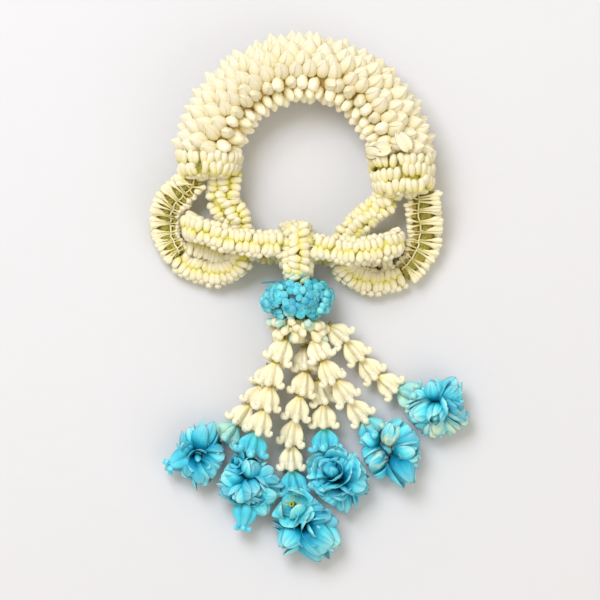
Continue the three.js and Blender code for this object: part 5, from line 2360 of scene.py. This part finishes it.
@dataclass(frozen=True)
class Lamp:
    """A broad soft light that faces the garland, in metres, watts and shares of light."""

    name: str
    place: Point
    side: float
    power: float
    colour: Point

    def light(self) -> None:
        """Hangs the lamp."""
        data = bpy.data.lights.new(self.name, "AREA")
        data.shape = "SQUARE"
        data.size = self.side
        data.energy = self.power
        data.color = self.colour
        lamp = shown(self.name, data, self.place)
        lamp.rotation_euler = Vector(self.place).to_track_quat("Z", "Y").to_euler()


@dataclass
class Studio:
    """The table, the light from the upper left and the camera straight above."""

    lamps: tuple[Lamp, ...] = (
        Lamp("window", (-0.55, 0.85, 1.5), 0.9, 23.6, (0.9, 0.925, 0.99)),
        Lamp("bounce", (1.6, -1.2, 1.6), 2.0, 12.0, (1.0, 0.97, 0.97)),
    )
    sky: Point = (1.0, 0.918, 0.735)
    sky_strength: float = 0.72
    view_middle: Point = (-2.65, -71.02, 18.0)
    view_width: float = 318.0
    distance: float = 3.0
    sensor: float = 36.0
    farthest: float = 20.0
    table_side: float = 6.0

    def build(self, shift: Array) -> None:
        """Sets the table, the lights and the camera.

        Args:
            shift: From the layout's frame to the part's.
        """
        mesh = bpy.data.meshes.new("table")
        half = self.table_side / 2
        corners = [(-half, -half, 0), (half, -half, 0), (half, half, 0), (-half, half, 0)]
        mesh.from_pydata(corners, [], [(0, 1, 2, 3)])
        mesh.materials.append(TABLE.material())
        shown("table", mesh)
        for lamp in self.lamps:
            lamp.light()
        self.add_sky()
        self.add_camera(shift)
        view = bpy.context.scene.view_settings
        view.view_transform = "Standard"
        view.look = "None"

    def add_sky(self) -> None:
        """Surrounds the scene with an even pale light."""
        world = bpy.data.worlds.new("room")
        world.use_nodes = True
        inputs = world.node_tree.nodes["Background"].inputs
        inputs["Color"].default_value = (*self.sky, 1.0)
        inputs["Strength"].default_value = self.sky_strength
        bpy.context.scene.world = world

    def add_camera(self, shift: Array) -> None:
        """Puts the camera straight above what the view shows.

        Args:
            shift: From the layout's frame to the part's.
        """
        data = bpy.data.cameras.new("camera")
        data.sensor_width = self.sensor
        data.lens = self.sensor * self.distance / (self.view_width * METRES)
        data.clip_end = self.farthest
        x, y, z = (np.array(self.view_middle) + shift) * METRES
        bpy.context.scene.camera = shown("camera", data, (x, y, z + self.distance))


def assemblies(layout: Layout) -> Iterator[Assembly]:
    """Gives every part of the garland, from the arch down to the tassel.

    Args:
        layout: Where the flowers are strung.

    Yields:
        The parts, in order.
    """
    yield Arch(layout)
    for side in Side:
        yield Collar(layout, side)
    yield from (Rings(layout), Loops(layout), Knot(), Band(), Skirt())
    middles = [thread.middle for thread in THREADS]
    for order, thread in enumerate(THREADS):
        yield CrownFlowers(thread, order)
        near = tuple(middles[k] for k in (order - 1, order + 1) if 0 <= k < len(THREADS))
        yield BlossomCluster(thread, order, near)
    yield TasselThreads()


def main() -> None:
    """Builds the garland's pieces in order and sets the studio."""
    logging.basicConfig(level=logging.INFO, format="%(message)s", stream=sys.stdout)
    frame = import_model()
    layout = Layout()
    shift = layout.shift()
    for assembly in assemblies(layout):
        for heap in assembly.build():
            heap.seat(shift)
    HiddenThreads().dress(frame["nodes"])
    Studio().build(shift)


if __name__ == "__main__":
    main()
